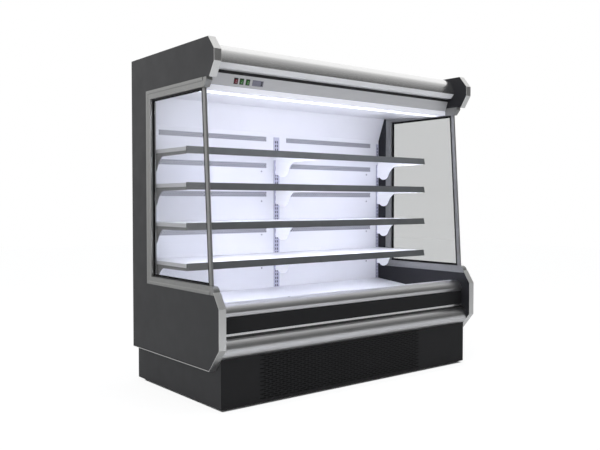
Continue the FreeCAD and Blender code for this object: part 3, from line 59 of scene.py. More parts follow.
FLOOR_GLOW, FLOOR_GLOW_SHARE = 1.17, 0.74
AMBIENT = 0.55
LAMP_TINT = (0.85, 0.88, 1.0)
WHITE = (0.80, 0.80, 0.83)
BAND_LEVELS = (0.92995, 1.179, 1.37795, 1.56225)  # near the middles of the perforated bands
BAND_HALF = 0.0175  # a little more than half a band's height


# ---- materials ------------------------------------------------------------


class Finish:
    """A material's node tree, with short calls for the nodes that this scene uses."""

    def __init__(self, name):
        self.material = bpy.data.materials.new(name)
        self.material.use_nodes = True
        tree = self.material.node_tree
        self.nodes, self.links = tree.nodes, tree.links
        self.nodes.clear()
        self.output = self.nodes.new("ShaderNodeOutputMaterial")
        self.shader = self.nodes.new("ShaderNodeBsdfPrincipled")
        self.links.new(self.shader.outputs["BSDF"], self.output.inputs["Surface"])
        self.place = self.nodes.new("ShaderNodeTexCoord").outputs["Object"]

    def link(self, target, value):
        """Sets a socket to a plain value or links it to another socket."""
        if isinstance(value, bpy.types.NodeSocket):
            self.links.new(value, target)
        else:
            target.default_value = value

    def set(self, **values):
        for name, value in values.items():
            self.link(self.shader.inputs[name.replace("_", " ")], value)

    def scaled(self, scale):
        mapping = self.nodes.new("ShaderNodeMapping")
        self.links.new(self.place, mapping.inputs["Vector"])
        mapping.inputs["Scale"].default_value = scale
        return mapping.outputs["Vector"]

    def noise(self, scale, detail=3.0, source=None, roughness=0.5):
        node = self.nodes.new("ShaderNodeTexNoise")
        self.links.new(source or self.place, node.inputs["Vector"])
        node.inputs["Scale"].default_value = scale
        node.inputs["Detail"].default_value = detail
        node.inputs["Roughness"].default_value = roughness
        return node.outputs["Fac"]

    def cells(self, scale):
        """Gives each cell of a Voronoi texture its own grey."""
        node = self.nodes.new("ShaderNodeTexVoronoi")
        self.links.new(self.place, node.inputs["Vector"])
        node.inputs["Scale"].default_value = scale
        grey = self.nodes.new("ShaderNodeRGBToBW")
        self.links.new(node.outputs["Color"], grey.inputs["Color"])
        return grey.outputs["Val"]

    def axis(self, letter):
        node = self.nodes.new("ShaderNodeSeparateXYZ")
        self.links.new(self.place, node.inputs["Vector"])
        return node.outputs[letter]

    def math(self, operation, first, second=0.0):
        node = self.nodes.new("ShaderNodeMath")
        node.operation = operation
        self.link(node.inputs[0], first)
        self.link(node.inputs[1], second)
        return node.outputs["Value"]

    def spread(self, factor, low, high, start=0.3, end=0.7):
        """Maps a texture between two values."""
        node = self.nodes.new("ShaderNodeMapRange")
        self.link(node.inputs["Value"], factor)
        for name, value in (("From Min", start), ("From Max", end), ("To Min", low), ("To Max", high)):
            self.link(node.inputs[name], value)
        return node.outputs["Result"]

    def blend(self, factor, first, second):
        """Mixes two colours by a factor."""
        node = self.nodes.new("ShaderNodeMix")
        node.data_type = "RGBA"
        self.link(node.inputs["Factor"], factor)
        for socket, value in ((node.inputs[6], first), (node.inputs[7], second)):
            self.link(socket, value)
        return node.outputs[2]

    def bump(self, height, distance, strength):
        node = self.nodes.new("ShaderNodeBump")
        node.inputs["Strength"].default_value = strength
        node.inputs["Distance"].default_value = distance
        self.links.new(height, node.inputs["Height"])
        return node.outputs["Normal"]


def rgb(red, green=None, blue=None, scale=1.0):
    green = red if green is None else green
    blue = red if blue is None else blue
    return (red * scale, green * scale, blue * scale, 1.0)


def paint(name, colour, roughness, spread=0.06, grain=900.0, depth=0.00003, coat=0.0, shine=0.25):
    """Sprayed or powder coat: a soft cloud in the colour, uneven gloss and orange peel."""
    finish = Finish(name)
    cloud_noise = finish.noise(2.5, 4.0)
    dark = rgb(*[c * (1 - spread) for c in colour])
    light = rgb(*[c * (1 + spread) for c in colour])
    speck = finish.noise(grain * 1.7, 1.0)
    tone = finish.blend(finish.spread(cloud_noise, 0.0, 1.0), dark, light)
    tone = finish.blend(finish.spread(speck, 0.0, 0.25, 0.45, 0.8), tone, light)
    peel = finish.noise(grain, 2.0)
    gloss = finish.spread(finish.noise(10.0, 5.0), roughness - 0.04, roughness + 0.05)
    normal = finish.bump(peel, depth, 0.6)
    finish.set(Base_Color=tone, Roughness=gloss, Normal=normal, Specular_IOR_Level=shine)
    finish.set(Coat_Weight=coat, Coat_Roughness=0.08)
    return finish.material


def metal(name, colour, roughness, stretch=(4.0, 900.0, 900.0), depth=0.00002, spread=0.08, level=1.0):
    """Satin metal, brushed along the axis that has the smallest stretch."""
    finish = Finish(name)
    streak = finish.noise(1.0, 4.0, finish.scaled(stretch), 0.65)
    cloud = finish.noise(3.0, 4.0)
    dark = rgb(*[c * (1 - spread) for c in colour])
    light = rgb(*[min(1.0, c * (1 + spread)) for c in colour])
    tone = finish.blend(finish.spread(streak, 0.0, 1.0), dark, light)
    gloss = finish.math(
        "ADD",
        finish.spread(streak, roughness - 0.05, roughness + 0.05),
        finish.spread(cloud, -0.03, 0.03),
    )
    finish.set(Base_Color=tone, Roughness=gloss, Metallic=level, Normal=finish.bump(streak, depth, 0.5))
    return finish.material


def spangle(name, colour):
    """Galvanised sheet: large grey crystals, each with its own gloss."""
    finish = Finish(name)
    crystals = finish.cells(90.0)
    tone = finish.blend(crystals, rgb(*colour, scale=0.8), rgb(*colour, scale=1.1))
    gloss = finish.spread(crystals, 0.34, 0.52, 0.0, 1.0)
    normal = finish.bump(finish.noise(500.0, 2.0), 0.00003, 0.5)
    finish.set(Base_Color=tone, Roughness=gloss, Metallic=0.9, Normal=normal)
    return finish.material


def fins(name):
    """Aluminium fins packed closely across the length, with painted shade: near-black stripes for the gaps
    between them.
    """
    finish = Finish(name)
    across = finish.math("SINE", finish.math("MULTIPLY", finish.axis("X"), 2 * math.pi / 0.0025))
    ridge = finish.spread(across, 0.0, 1.0, -0.9, 0.9)
    shade = finish.spread(finish.noise(30.0, 4.0), 0.8, 1.1)
    # Painted shade: the troughs between the ridges are near black, for the gaps between fins
    tone = finish.blend(ridge, rgb(0.05), rgb(0.62))
    mixed = finish.blend(finish.spread(shade, 0.0, 0.3, 0.8, 1.1), tone, rgb(0.45, 0.46, 0.48))
    finish.set(Base_Color=mixed, Roughness=0.4, Metallic=0.8, Normal=finish.bump(ridge, 0.0008, 0.8))
    return finish.material


def plastic(name, colour, roughness, grain=1400.0, depth=0.00004, spread=0.1):
    """Moulded plastic with a fine spark-eroded grain."""
    finish = Finish(name)
    grit = finish.noise(grain, 2.0)
    cloud = finish.noise(9.0, 3.0)
    dark = rgb(*[c * (1 - spread) for c in colour])
    light = rgb(*[c * (1 + spread) for c in colour])
    tone = finish.blend(finish.spread(cloud, 0.0, 1.0), dark, light)
    gloss = finish.spread(grit, roughness - 0.05, roughness + 0.07)
    finish.set(Base_Color=tone, Roughness=gloss, Normal=finish.bump(grit, depth, 0.7))
    return finish.material


def lit(name, colour, strength, glow=None):
    """A lamp's cover: frosted plastic that glows, a little brighter where its diodes sit. On the air outlet,
    which is no lamp, the glow is painted light.
    """
    finish = Finish(name)
    diodes = finish.math("SINE", finish.math("MULTIPLY", finish.axis("X"), 2 * math.pi / 0.0167))
    warm = finish.spread(diodes, 0.92, 1.0, -1.0, 1.0)
    frost = finish.spread(finish.noise(600.0, 2.0), 0.35, 0.5)
    tone = finish.blend(warm, rgb(*colour, scale=0.9), rgb(*colour))
    finish.set(
        Base_Color=tone,
        Roughness=frost,
        Emission_Color=finish.blend(warm, rgb(*(glow or colour), scale=0.9), rgb(*(glow or colour))),
        Emission_Strength=strength,
        Normal=finish.bump(finish.noise(900.0, 2.0), 0.00003, 0.5),
    )
    return finish.material


def lens(name, colour, glow):
    """A translucent switch cap, lit weakly from inside."""
    finish = Finish(name)
    cloud = finish.noise(120.0, 3.0)
    tone = finish.blend(finish.spread(cloud, 0.0, 1.0), rgb(*colour, scale=0.85), rgb(*colour, scale=1.1))
    ribs = finish.noise(900.0, 2.0)
    finish.set(
        Base_Color=tone,
        Roughness=finish.spread(ribs, 0.18, 0.3),
        Emission_Color=rgb(*colour),
        Emission_Strength=glow,
        Subsurface_Weight=0.15,
        Subsurface_Radius=(0.004, 0.002, 0.002),
        Normal=finish.bump(ribs, 0.00002, 0.5),
    )
    return finish.material


def glass(name, colour):
    """Clear glass with little mirror, so that the white studio doesn't veil what is behind it."""
    finish = Finish(name)
    smear = finish.spread(finish.noise(14.0, 5.0), 0.0, 0.025, 0.45, 0.8)
    finish.set(Base_Color=rgb(*colour), Roughness=smear, IOR=1.13, Transmission_Weight=1.0)
    shade = finish.nodes.new("ShaderNodeBsdfTransparent")
    shade.inputs["Color"].default_value = rgb(0.86)
    mix = finish.nodes.new("ShaderNodeMixShader")
    ray = finish.nodes.new("ShaderNodeLightPath")
    unseen = finish.math("MAXIMUM", ray.outputs["Is Shadow Ray"], ray.outputs["Is Diffuse Ray"])
    finish.links.new(unseen, mix.inputs["Fac"])
    finish.links.new(finish.shader.outputs["BSDF"], mix.inputs[1])
    finish.links.new(shade.outputs["BSDF"], mix.inputs[2])
    finish.links.new(mix.outputs["Shader"], finish.output.inputs["Surface"])
    return finish.material


def strip_and_gap_shade(name):
    """The strips under the black panel: bright metal above, and painted shade below, a near-black band for the
    gap over the lower bumper.
    """
    finish = Finish(name)
    # Painted shade: below this level the strip is near black and not metal
    split = finish.math("GREATER_THAN", finish.axis("Z"), STRIP_SPLIT)
    streak = finish.noise(1.0, 4.0, finish.scaled((4.0, 900.0, 900.0)))
    bright = finish.blend(finish.spread(streak, 0.0, 1.0), rgb(0.72), rgb(0.86))
    finish.set(
        Base_Color=finish.blend(split, rgb(0.02), bright),
        Metallic=split,
        Roughness=finish.spread(streak, 0.22, 0.34),
        Normal=finish.bump(streak, 0.00002, 0.5),
    )
    return finish.material


def fascia_coat(name):
    """The control strip's satin silver, and painted shade over it: near black where the groove is."""
    finish = Finish(name)
    streak = finish.noise(1.0, 4.0, finish.scaled((4.0, 900.0, 900.0)), 0.65)
    silver = finish.blend(finish.spread(streak, 0.0, 1.0), rgb(0.60, 0.60, 0.62), rgb(0.66, 0.66, 0.68))
    # Painted shade: the groove's part of the strip is coloured near black
    groove = finish.math("GREATER_THAN", finish.axis("Z"), GROOVE_LEVEL)
    finish.set(
        Base_Color=finish.blend(groove, silver, rgb(0.028, 0.028, 0.03)),
        Metallic=finish.math("MULTIPLY", finish.math("SUBTRACT", 1.0, groove), 0.35),
        Roughness=finish.spread(streak, 0.38, 0.48),
        Normal=finish.bump(streak, 0.00002, 0.5),
    )
    return finish.material


def side_coat_inner_shade(name):
    """The end panels' charcoal outside, and painted shade on the side that faces the goods: the same charcoal
    made near black.
    """
    finish = Finish(name)
    cloud = finish.spread(finish.noise(2.5, 4.0), 0.0, 1.0)
    outside = finish.blend(cloud, rgb(0.037, 0.037, 0.039), rgb(0.042, 0.042, 0.044))
    inside = finish.blend(cloud, rgb(0.016, 0.016, 0.019), rgb(0.020, 0.020, 0.023))
    # Painted shade: a near-black copy of the charcoal on the inner faces
    shaded_inner_side = finish.math("LESS_THAN", finish.math("ABSOLUTE", finish.axis("X")), INNER_FACE)
    finish.set(
        Base_Color=finish.blend(shaded_inner_side, outside, inside),
        Roughness=finish.spread(finish.noise(10.0, 5.0), 0.46, 0.55),
        Specular_IOR_Level=0.25,
        Normal=finish.bump(finish.noise(900.0, 2.0), 0.00003, 0.6),
    )
    return finish.material


def base_sheet_fold_shade(name):
    """Galvanised sheet, with painted shade on its folded front edge: near black, behind the kick plate's slots.
    """
    finish = Finish(name)
    crystals = finish.cells(90.0)
    # Painted shade: the fold in front of BASE_FOLD is coloured near black
    front = finish.math("LESS_THAN", finish.axis("Y"), BASE_FOLD)
    tone = finish.blend(crystals, rgb(0.42, 0.43, 0.44), rgb(0.56, 0.57, 0.58))
    finish.set(
        Base_Color=finish.blend(front, tone, rgb(0.006)),
        Roughness=finish.spread(crystals, 0.34, 0.52, 0.0, 1.0),
        Metallic=finish.math("SUBTRACT", 0.9, finish.math("MULTIPLY", front, 0.9)),
        Specular_IOR_Level=0.1,
    )
    return finish.material


def body_coat(name):
    """White coat outside, and painted shade on the duct behind the perforated panels: near black."""
    finish = Finish(name)
    peel = finish.noise(600.0, 2.0)
    # Painted shade: the duct is coloured near black
    behind = finish.math("GREATER_THAN", finish.axis("Y"), DUCT_START)
    ahead = finish.math("LESS_THAN", finish.axis("Y"), DUCT_END)
    duct = finish.math("MULTIPLY", behind, ahead)
    cloud = finish.spread(finish.noise(2.5, 4.0), 0.0, 1.0)
    outside = finish.blend(cloud, rgb(0.78, 0.78, 0.80), rgb(0.82, 0.82, 0.84))
    inside = finish.blend(cloud, rgb(0.030), rgb(0.042))
    finish.set(
        Base_Color=finish.blend(duct, outside, inside),
        Roughness=finish.spread(finish.noise(10.0, 5.0), 0.32, 0.42),
        Specular_IOR_Level=0.3,
        Normal=finish.bump(peel, 0.00003, 0.6),
    )
    return finish.material


def panel_coat_band_shade(name):
    """White coat, and painted shade on the four perforated bands: the sheet between their holes made grey."""
    finish = Finish(name)
    level = finish.axis("Z")
    band = 0.0
    for middle in BAND_LEVELS:
        away = finish.math("ABSOLUTE", finish.math("SUBTRACT", level, middle))
        near = finish.math("LESS_THAN", away, BAND_HALF)
        band = finish.math("MAXIMUM", band, near)
    across = finish.math("ABSOLUTE", finish.axis("X"))
    past_start = finish.math("GREATER_THAN", across, BAND_START)
    held = finish.math("MULTIPLY", past_start, finish.math("LESS_THAN", across, BAND_END))
    cloud = finish.spread(finish.noise(2.5, 4.0), 0.0, 1.0)
    coat = finish.blend(cloud, rgb(*WHITE, scale=0.98), rgb(*WHITE, scale=1.02))
    finish.set(
        # Painted shade: the bands' sheet between the holes is coloured grey
        Base_Color=finish.blend(finish.math("MULTIPLY", band, held), coat, rgb(0.46, 0.46, 0.50)),
        Roughness=finish.spread(finish.noise(10.0, 5.0), 0.28, 0.37),
        Specular_IOR_Level=0.4,
        Normal=finish.bump(finish.noise(600.0, 2.0), 0.00003, 0.6),
    )
    return finish.material


def upright_coat_slot_shade(name):
    """A greyer coat on the uprights' face, and painted shade behind it: near black inside the slots."""
    finish = Finish(name)
    face = finish.math("LESS_THAN", finish.axis("Y"), UPRIGHT_FACE)
    cloud = finish.spread(finish.noise(2.5, 4.0), 0.0, 1.0)
    coat = finish.blend(cloud, rgb(0.47, 0.47, 0.58), rgb(0.50, 0.50, 0.61))
    finish.set(
        # Painted shade: near black behind the uprights' face, in the slots
        Base_Color=finish.blend(face, rgb(0.03), coat),
        Roughness=finish.spread(finish.noise(10.0, 5.0), 0.34, 0.44),
        Specular_IOR_Level=0.3,
        Normal=finish.bump(finish.noise(600.0, 2.0), 0.00003, 0.6),
    )
    return finish.material


def bracket_coat_painted_light(name):
    """White coat with a weak glow painted in place of the lamps' light, and painted shade on the left end's
    brackets, which are made grey.
    """
    finish = Finish(name)
    # Painted shade: the brackets at the left end are coloured grey
    outer = finish.math("LESS_THAN", finish.axis("X"), -0.9)
    cloud = finish.spread(finish.noise(2.5, 4.0), 0.0, 1.0)
    coat = finish.blend(cloud, rgb(*WHITE, scale=0.98), rgb(*WHITE, scale=1.02))
    finish.set(
        Base_Color=finish.blend(outer, coat, rgb(0.16, 0.16, 0.165)),
        Roughness=finish.spread(finish.noise(10.0, 5.0), 0.28, 0.37),
        Specular_IOR_Level=0.3,
        # Painted light: a weak glow in place of the lamps' light, on all but the left end
        Emission_Color=rgb(0.9, 0.92, 1.0),
        Emission_Strength=finish.math("MULTIPLY", finish.math("SUBTRACT", 1.0, outer), 0.22),
        Normal=finish.bump(finish.noise(600.0, 2.0), 0.00003, 0.6),
    )
    return finish.material


looks = {
    "charcoal_coat": side_coat_inner_shade("charcoal_coat"),
    "plinth_coat": paint("plinth_coat", (0.034, 0.034, 0.036), 0.5),
    "kick_coat": paint("kick_coat", (0.019, 0.019, 0.020), 0.5, shine=0.12),
    "white_coat": paint("white_coat", WHITE, 0.32, spread=0.02, grain=600.0, coat=0.1, shine=0.4),
    "nose_metal": metal("nose_metal", (0.76, 0.76, 0.75), 0.32, stretch=(900.0, 900.0, 6.0)),
    "frame_metal": metal("frame_metal", (0.29, 0.29, 0.285), 0.42, stretch=(900.0, 60.0, 60.0), level=0.7),
    "seal": plastic("seal", (0.012, 0.012, 0.013), 0.62, grain=700.0, depth=0.0001),
    "pane": glass("pane", (0.755, 0.76, 0.76)),
    "canopy_coat": metal("canopy_coat", (0.88, 0.88, 0.875), 0.22, spread=0.03, level=0.97),
    "infill_coat": paint("infill_coat", (0.84, 0.84, 0.85), 0.4, spread=0.02),
    "fascia_coat": fascia_coat("fascia_coat"),
    "diffuser": lit("diffuser", (0.86, 0.86, 0.92), 0.22, LAMP_TINT),
    "lamp": lit("lamp", (0.9, 0.9, 0.95), 0.9, LAMP_TINT),
    # Painted light: the air outlet is no lamp, but is given a glow
    "outlet": lit("outlet", (0.84, 0.85, 0.90), 0.45, (0.94, 0.96, 1.0)),
    "bumper": metal("bumper", (0.64, 0.64, 0.645), 0.32),
    "black_front": paint("black_front", (0.017, 0.017, 0.018), 0.4, shine=0.12),
    "bright_strip": strip_and_gap_shade("bright_strip"),
    "rail": plastic("rail", (0.088, 0.092, 0.093), 0.4),
    "galvanised": spangle("galvanised", (0.52, 0.53, 0.54)),
    "fins": fins("fins"),
    "copper": metal("copper", (0.72, 0.36, 0.22), 0.3, stretch=(60.0, 60.0, 60.0), spread=0.15),
    "compressor_coat": paint("compressor_coat", (0.012, 0.012, 0.012), 0.3, coat=0.2),
    "foot": metal("foot", (0.55, 0.55, 0.53), 0.38, stretch=(90.0, 90.0, 90.0)),
    "black_plastic": plastic("black_plastic", (0.022, 0.022, 0.024), 0.42),
    "red_lens": lens("red_lens", (0.16, 0.010, 0.028), 0.05),
    "green_lens": lens("green_lens", (0.028, 0.15, 0.022), 0.05),
}
for name, node in nodes.items():
    for place in node.material_slots:
        place.material = looks[place.material.name.split(".")[0]]
nodes["insulated_body"].material_slots[0].material = body_coat("body_coat")
nodes["base_plate"].material_slots[0].material = base_sheet_fold_shade("base_sheet_fold_shade")
nodes["back_panels"].material_slots[0].material = panel_coat_band_shade("panel_coat_band_shade")
nodes["uprights"].material_slots[0].material = upright_coat_slot_shade("upright_coat_slot_shade")
nodes["shelf_brackets"].material_slots[0].material = bracket_coat_painted_light("bracket_coat_painted_light")
nodes["side_glass_left"].material_slots[0].material = glass("pane_clear", (0.98, 0.985, 0.99))
nodes["panel_screws"].material_slots[0].material = metal("screw_dark", (0.10, 0.10, 0.11), 0.4, level=0.8)
nodes["controller"].material_slots[0].material = plastic("controller_grey", (0.22, 0.22, 0.28), 0.45)


# ---- pieces ------------------------------------------------------------


def piece(name, body, form, look, bevel=0.0):
    """Makes a shown piece of a bmesh and sets it on a body."""
    mesh = bpy.data.meshes.new(name)
    bmesh.ops.recalc_face_normals(form, faces=form.faces)
    form.to_mesh(mesh)
    form.free()
    made = bpy.data.objects.new(name, mesh)
    bpy.context.scene.collection.objects.link(made)
    mesh.materials.append(look)
    if bevel:
        round_edges(made, bevel)
    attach(made, body)
    return made


def round_edges(target, width, segments=2):
    """Rounds an object's sharp edges with modifiers."""
    weld = target.modifiers.new("weld", "WELD")
    weld.merge_threshold = 0.00002
    bevel = target.modifiers.new("bevel", "BEVEL")
    bevel.width = width
    bevel.segments = segments
    bevel.limit_method = "ANGLE"
    bevel.angle_limit = math.radians(40)
    bevel.use_clamp_overlap = True
    normals = target.modifiers.new("normals", "WEIGHTED_NORMAL")
    normals.keep_sharp = True


def add_box(form, low, high, turn=None):
    """Adds a box between two corners. The matrix turn moves its points."""
    corners = [
        Vector((x, y, z)) for z in (low[2], high[2]) for y in (low[1], high[1]) for x in (low[0], high[0])
    ]
    points = [form.verts.new(turn @ corner if turn else corner) for corner in corners]
    for face in ((0, 1, 3, 2), (4, 6, 7, 5), (0, 4, 5, 1), (2, 3, 7, 6), (0, 2, 6, 4), (1, 5, 7, 3)):
        form.faces.new([points[i] for i in face])


def add_sweep(form, rings, closed=True, capped=False):
    """Skins rings of points, each with the same count."""
    rows = [[form.verts.new(point) for point in ring] for ring in rings]
    count = len(rows[0])
    for order in range(len(rows) if closed else len(rows) - 1):
        near, far = rows[order], rows[(order + 1) % len(rows)]
        for number in range(count):
            after = (number + 1) % count
            form.faces.new((near[number], near[after], far[after], far[number]))
    if capped:
        form.faces.new(rows[0])
        form.faces.new(list(reversed(rows[-1])))


def circle(count):
    """The cosine and sine of evenly spaced angles."""
    angles = [number * math.tau / count for number in range(count)]
    return [(math.cos(angle), math.sin(angle)) for angle in angles]


def fascia_frame(x):
    """The frame of the sloping control strip: its own X along the length, Y up the slope, Z out of it."""
    cosine, sine = math.cos(FASCIA_LEAN), math.sin(FASCIA_LEAN)
    columns = Matrix(((1, 0, 0), (0, -sine, -cosine), (0, cosine, -sine)))
    return Matrix.Translation((x, CONTROL_Y, CONTROL_Z)) @ columns.to_4x4()


def window_mouldings():
    """The raised outer edge of each side window's frame, mitred at the corners."""
    corners = {  # reach in front of the end panels' back edge, level, and the inner side's corner
        "foot_back": ((0.191, 0.629), (0.246, 0.675)),
        "foot_front": ((0.918, 0.629), (0.918, 0.675)),
        "head_front": ((0.850, 1.792), (0.850, 1.740)),
        "head_back": ((0.191, 1.792), (0.246, 1.740)),
    }
    order = ("foot_front", "foot_back", "head_back", "head_front")
    profile = ((0.0, 0.0), (0.0, 0.0022), (0.16, 0.0026), (0.34, 0.0022), (0.42, 0.0004), (0.42, -0.001))
    for side, sign in (("left", -1), ("right", 1)):
        form = bmesh.new()
        rings = []
        for name in order:
            outer, inner = corners[name]
            ring = []
            for along, out in profile:
                reach = outer[0] + (inner[0] - outer[0]) * along
                level = outer[1] + (inner[1] - outer[1]) * along
                ring.append(Vector((sign * (WINDOW_FACE + out), BACK_EDGE - reach, level)))
            rings.append(ring)
        add_sweep(form, rings, closed=False, capped=True)
        piece(f"window_moulding_{side}", "cabinet", form, looks["frame_metal"], 0.0005)


SEGMENTS = {  # the bars of a seven-bar digit: across, up, lying
    "a": (0.0, 1.0, True),
    "b": (0.5, 0.5, False),
    "c": (0.5, -0.5, False),
    "d": (0.0, -1.0, True),
    "e": (-0.5, -0.5, False),
    "f": (-0.5, 0.5, False),
    "g": (0.0, 0.0, True),
}
DIGITS = {"0": "abcdef", "2": "abged", "4": "fgbc"}


def controller_face():
    turn = fascia_frame(CONTROLLER_X)
    form = bmesh.new()
    add_box(form, (-0.0310, -0.0086, 0.0002), (0.0114, 0.0086, 0.0014), turn)
    screen = Finish("screen_glass")
    cloud = screen.noise(40.0, 3.0)
    screen.set(
        Base_Color=screen.blend(screen.spread(cloud, 0.0, 1.0), rgb(0.05, 0.07, 0.09), rgb(0.07, 0.09, 0.11)),
        Roughness=screen.spread(screen.noise(300.0), 0.06, 0.12),
        Coat_Weight=0.5,
    )
    piece("controller_screen", "cabinet", form, screen.material, 0.0003)
    glow = Finish("digit_glow")
    shade = glow.spread(glow.noise(500.0), 0.85, 1.0)
    glow.set(
        Base_Color=rgb(0.35, 0.75, 0.85),
        Roughness=0.4,
        Emission_Color=glow.blend(shade, rgb(0.2, 0.5, 0.6), rgb(0.45, 0.85, 0.95)),
        Emission_Strength=0.9,
    )
    form = bmesh.new()
    tall, wide, stroke, lift = 0.0105, 0.0052, 0.0010, 0.0015
    for digit, centre in (("4", -0.0215), ("2", -0.0130), ("0", -0.0045)):
        for name in DIGITS[digit]:
            across, up, lying = SEGMENTS[name]
            x, y = centre + across * wide, up * tall / 2
            half_x = wide / 2 - stroke * 0.6 if lying else stroke / 2
            half_y = stroke / 2 if lying else tall / 4 - stroke * 0.6
            add_box(form, (x - half_x, y - half_y, lift), (x + half_x, y + half_y, lift + 0.0002), turn)
    add_box(form, (-0.0091, -0.0058, lift), (-0.0081, -0.0048, lift + 0.0002), turn)
    piece("controller_digits", "cabinet", form, glow.material)


def rocker_marks():
    """A line and a ring on each rocker, as on any mains switch."""
    ink = plastic("mark_ink", (0.75, 0.75, 0.75), 0.5)
    tilt = math.radians(10)
    for name, x in ROCKERS.items():
        form = bmesh.new()
        base = fascia_frame(x) @ Matrix.Translation((0, 0, -0.005)) @ Matrix.Rotation(tilt, 4, "X")
        reach = 0.0081
        upper = base @ Matrix.Translation((0, 0.0052, reach + 0.0012))
        lower = base @ Matrix.Translation((0, -0.0052, reach + 0.0012))
        upper = upper @ Matrix.Rotation(math.radians(-10), 4, "X")
        lower = lower @ Matrix.Rotation(math.radians(10), 4, "X")
        add_box(form, (-0.0006, -0.0024, -0.0008), (0.0006, 0.0024, 0.0003), upper)
        rings = []
        for cosine, sine in circle(20):
            direction = Vector((cosine, sine, 0))
            ring = [
                lower @ (direction * radius + Vector((0, 0, height)))
                for radius, height in ((0.0026, -0.0008), (0.0026, 0.0003), (0.0017, 0.0003), (0.0017, -0.0008))
            ]
            rings.append(ring)
        add_sweep(form, rings)
        piece(f"{name}_marks", name, form, ink)


def grille_plug():
    """The small black plug in the top of the return-air grille."""
    centre_x, centre_y = -0.476, -0.375
    form = bmesh.new()
    rings = []
    for radius, level in ((0.0070, 0.5693), (0.0070, 0.5708), (0.0055, 0.5716), (0.0010, 0.5717)):
        rings.append([Vector((centre_x + radius * c, centre_y + radius * s, level)) for c, s in circle(24)])
    add_sweep(form, rings, closed=False, capped=True)
    piece("grille_plug", "cabinet", form, looks["black_plastic"])


def back_seams():
    """Cover strips over the joints of the rear sheets, with a row of rivets on each side of a joint."""
    half_strip, rivet_offset = 0.016, 0.009
    rivets, first_rivet, rivet_pitch = 12, 0.34, 0.145
    form = bmesh.new()
    for x in (-0.333, 0.333):
        add_box(form, (x - half_strip, 0.4985, 0.300), (x + half_strip, 0.4999, 1.970))
        for side in (-rivet_offset, rivet_offset):
            for number in range(rivets):
                level = first_rivet + number * rivet_pitch
                rings = []
                for radius, out in ((0.0034, 0.4997), (0.0034, 0.5003), (0.0018, 0.5011)):
                    ring = [Vector((x + side + radius * c, out, level + radius * s)) for c, s in circle(10)]
                    rings.append(ring)
                add_sweep(form, rings, closed=False, capped=True)
    piece("back_seams", "cabinet", form, looks["white_coat"])


def dust_filter():
    """A black foam mat behind the slots of the kick plate, above and below the base plate, coloured almost pure
    black: partly the foam's own black, partly painted shade that keeps the slots dark.
    """
    left, length, depth = -0.76, 1.32, -0.4578
    step, swell = 0.006, 0.0006
    form = bmesh.new()
    for low, high in ((0.0200, 0.0690), (0.0735, 0.2790)):
        columns, rows = 220, int((high - low) / step)
        points = []
        for row in range(rows + 1):
            line = []
            for column in range(columns + 1):
                ripple = swell * math.sin(column * 1.9) * math.cos(row * 2.3)
                x = left + length * column / columns
                line.append(form.verts.new((x, depth + ripple, low + (high - low) * row / rows)))
            points.append(line)
        for row in range(rows):
            for column in range(columns):
                near, far = points[row], points[row + 1]
                form.faces.new((near[column], near[column + 1], far[column + 1], far[column]))
    # Painted shade: the foam's colour is near zero, darker than foam, so the slots read as black
    foam = plastic("black_foam_and_shade", (0.0015, 0.0015, 0.0015), 0.95, 300.0, 0.001)
    mat = piece("dust_filter", "cabinet", form, foam)
    thick = mat.modifiers.new("thickness", "SOLIDIFY")
    thick.thickness = 0.003
    thick.offset = -1.0


window_mouldings()
controller_face()
rocker_marks()
grille_plug()
back_seams()
dust_filter()

for name, width in (
    ("end_panel_left", 0.0012),
    ("end_panel_right", 0.0012),
    ("nose_trims_left", 0.0012),
    ("nose_trims_right", 0.0012),
    ("canopy_profile", 0.0006),
    ("control_fascia", 0.0004),
    ("front_panel", 0.0006),
    ("controller", 0.0005),
    ("rocker_bezels", 0.0004),
    ("rocker_1", 0.0006),
    ("rocker_2", 0.0006),
    ("rocker_3", 0.0006),
    ("electrical_box", 0.001),
):
    round_edges(nodes[name], width)


# ---- camera, lights and stage ------------------------------------------------------------


def make_camera():
    data = bpy.data.cameras.new("camera")
    data.lens = CAMERA_LENS
    data.sensor_width = SENSOR_WIDTH
    camera = bpy.data.objects.new("camera", data)
    camera.location = CAMERA_PLACE
    camera.rotation_euler = [math.radians(angle) for angle in CAMERA_TURN]
    bpy.context.scene.collection.objects.link(camera)
    bpy.context.scene.camera = camera


def area_light(name, place, target, size, power, colour=(1, 1, 1)):
    data = bpy.data.lights.new(name, "AREA")
    data.shape = "RECTANGLE"
    data.size, data.size_y = size
    data.energy = power
    data.color = colour
    light = bpy.data.objects.new(name, data)
    light.location = place
    light.rotation_mode = "QUATERNION"
    light.rotation_quaternion = (Vector(target) - Vector(place)).to_track_quat("-Z", "Y")
    light.visible_camera = False
    light.visible_glossy = False
    bpy.context.scene.collection.objects.link(light)


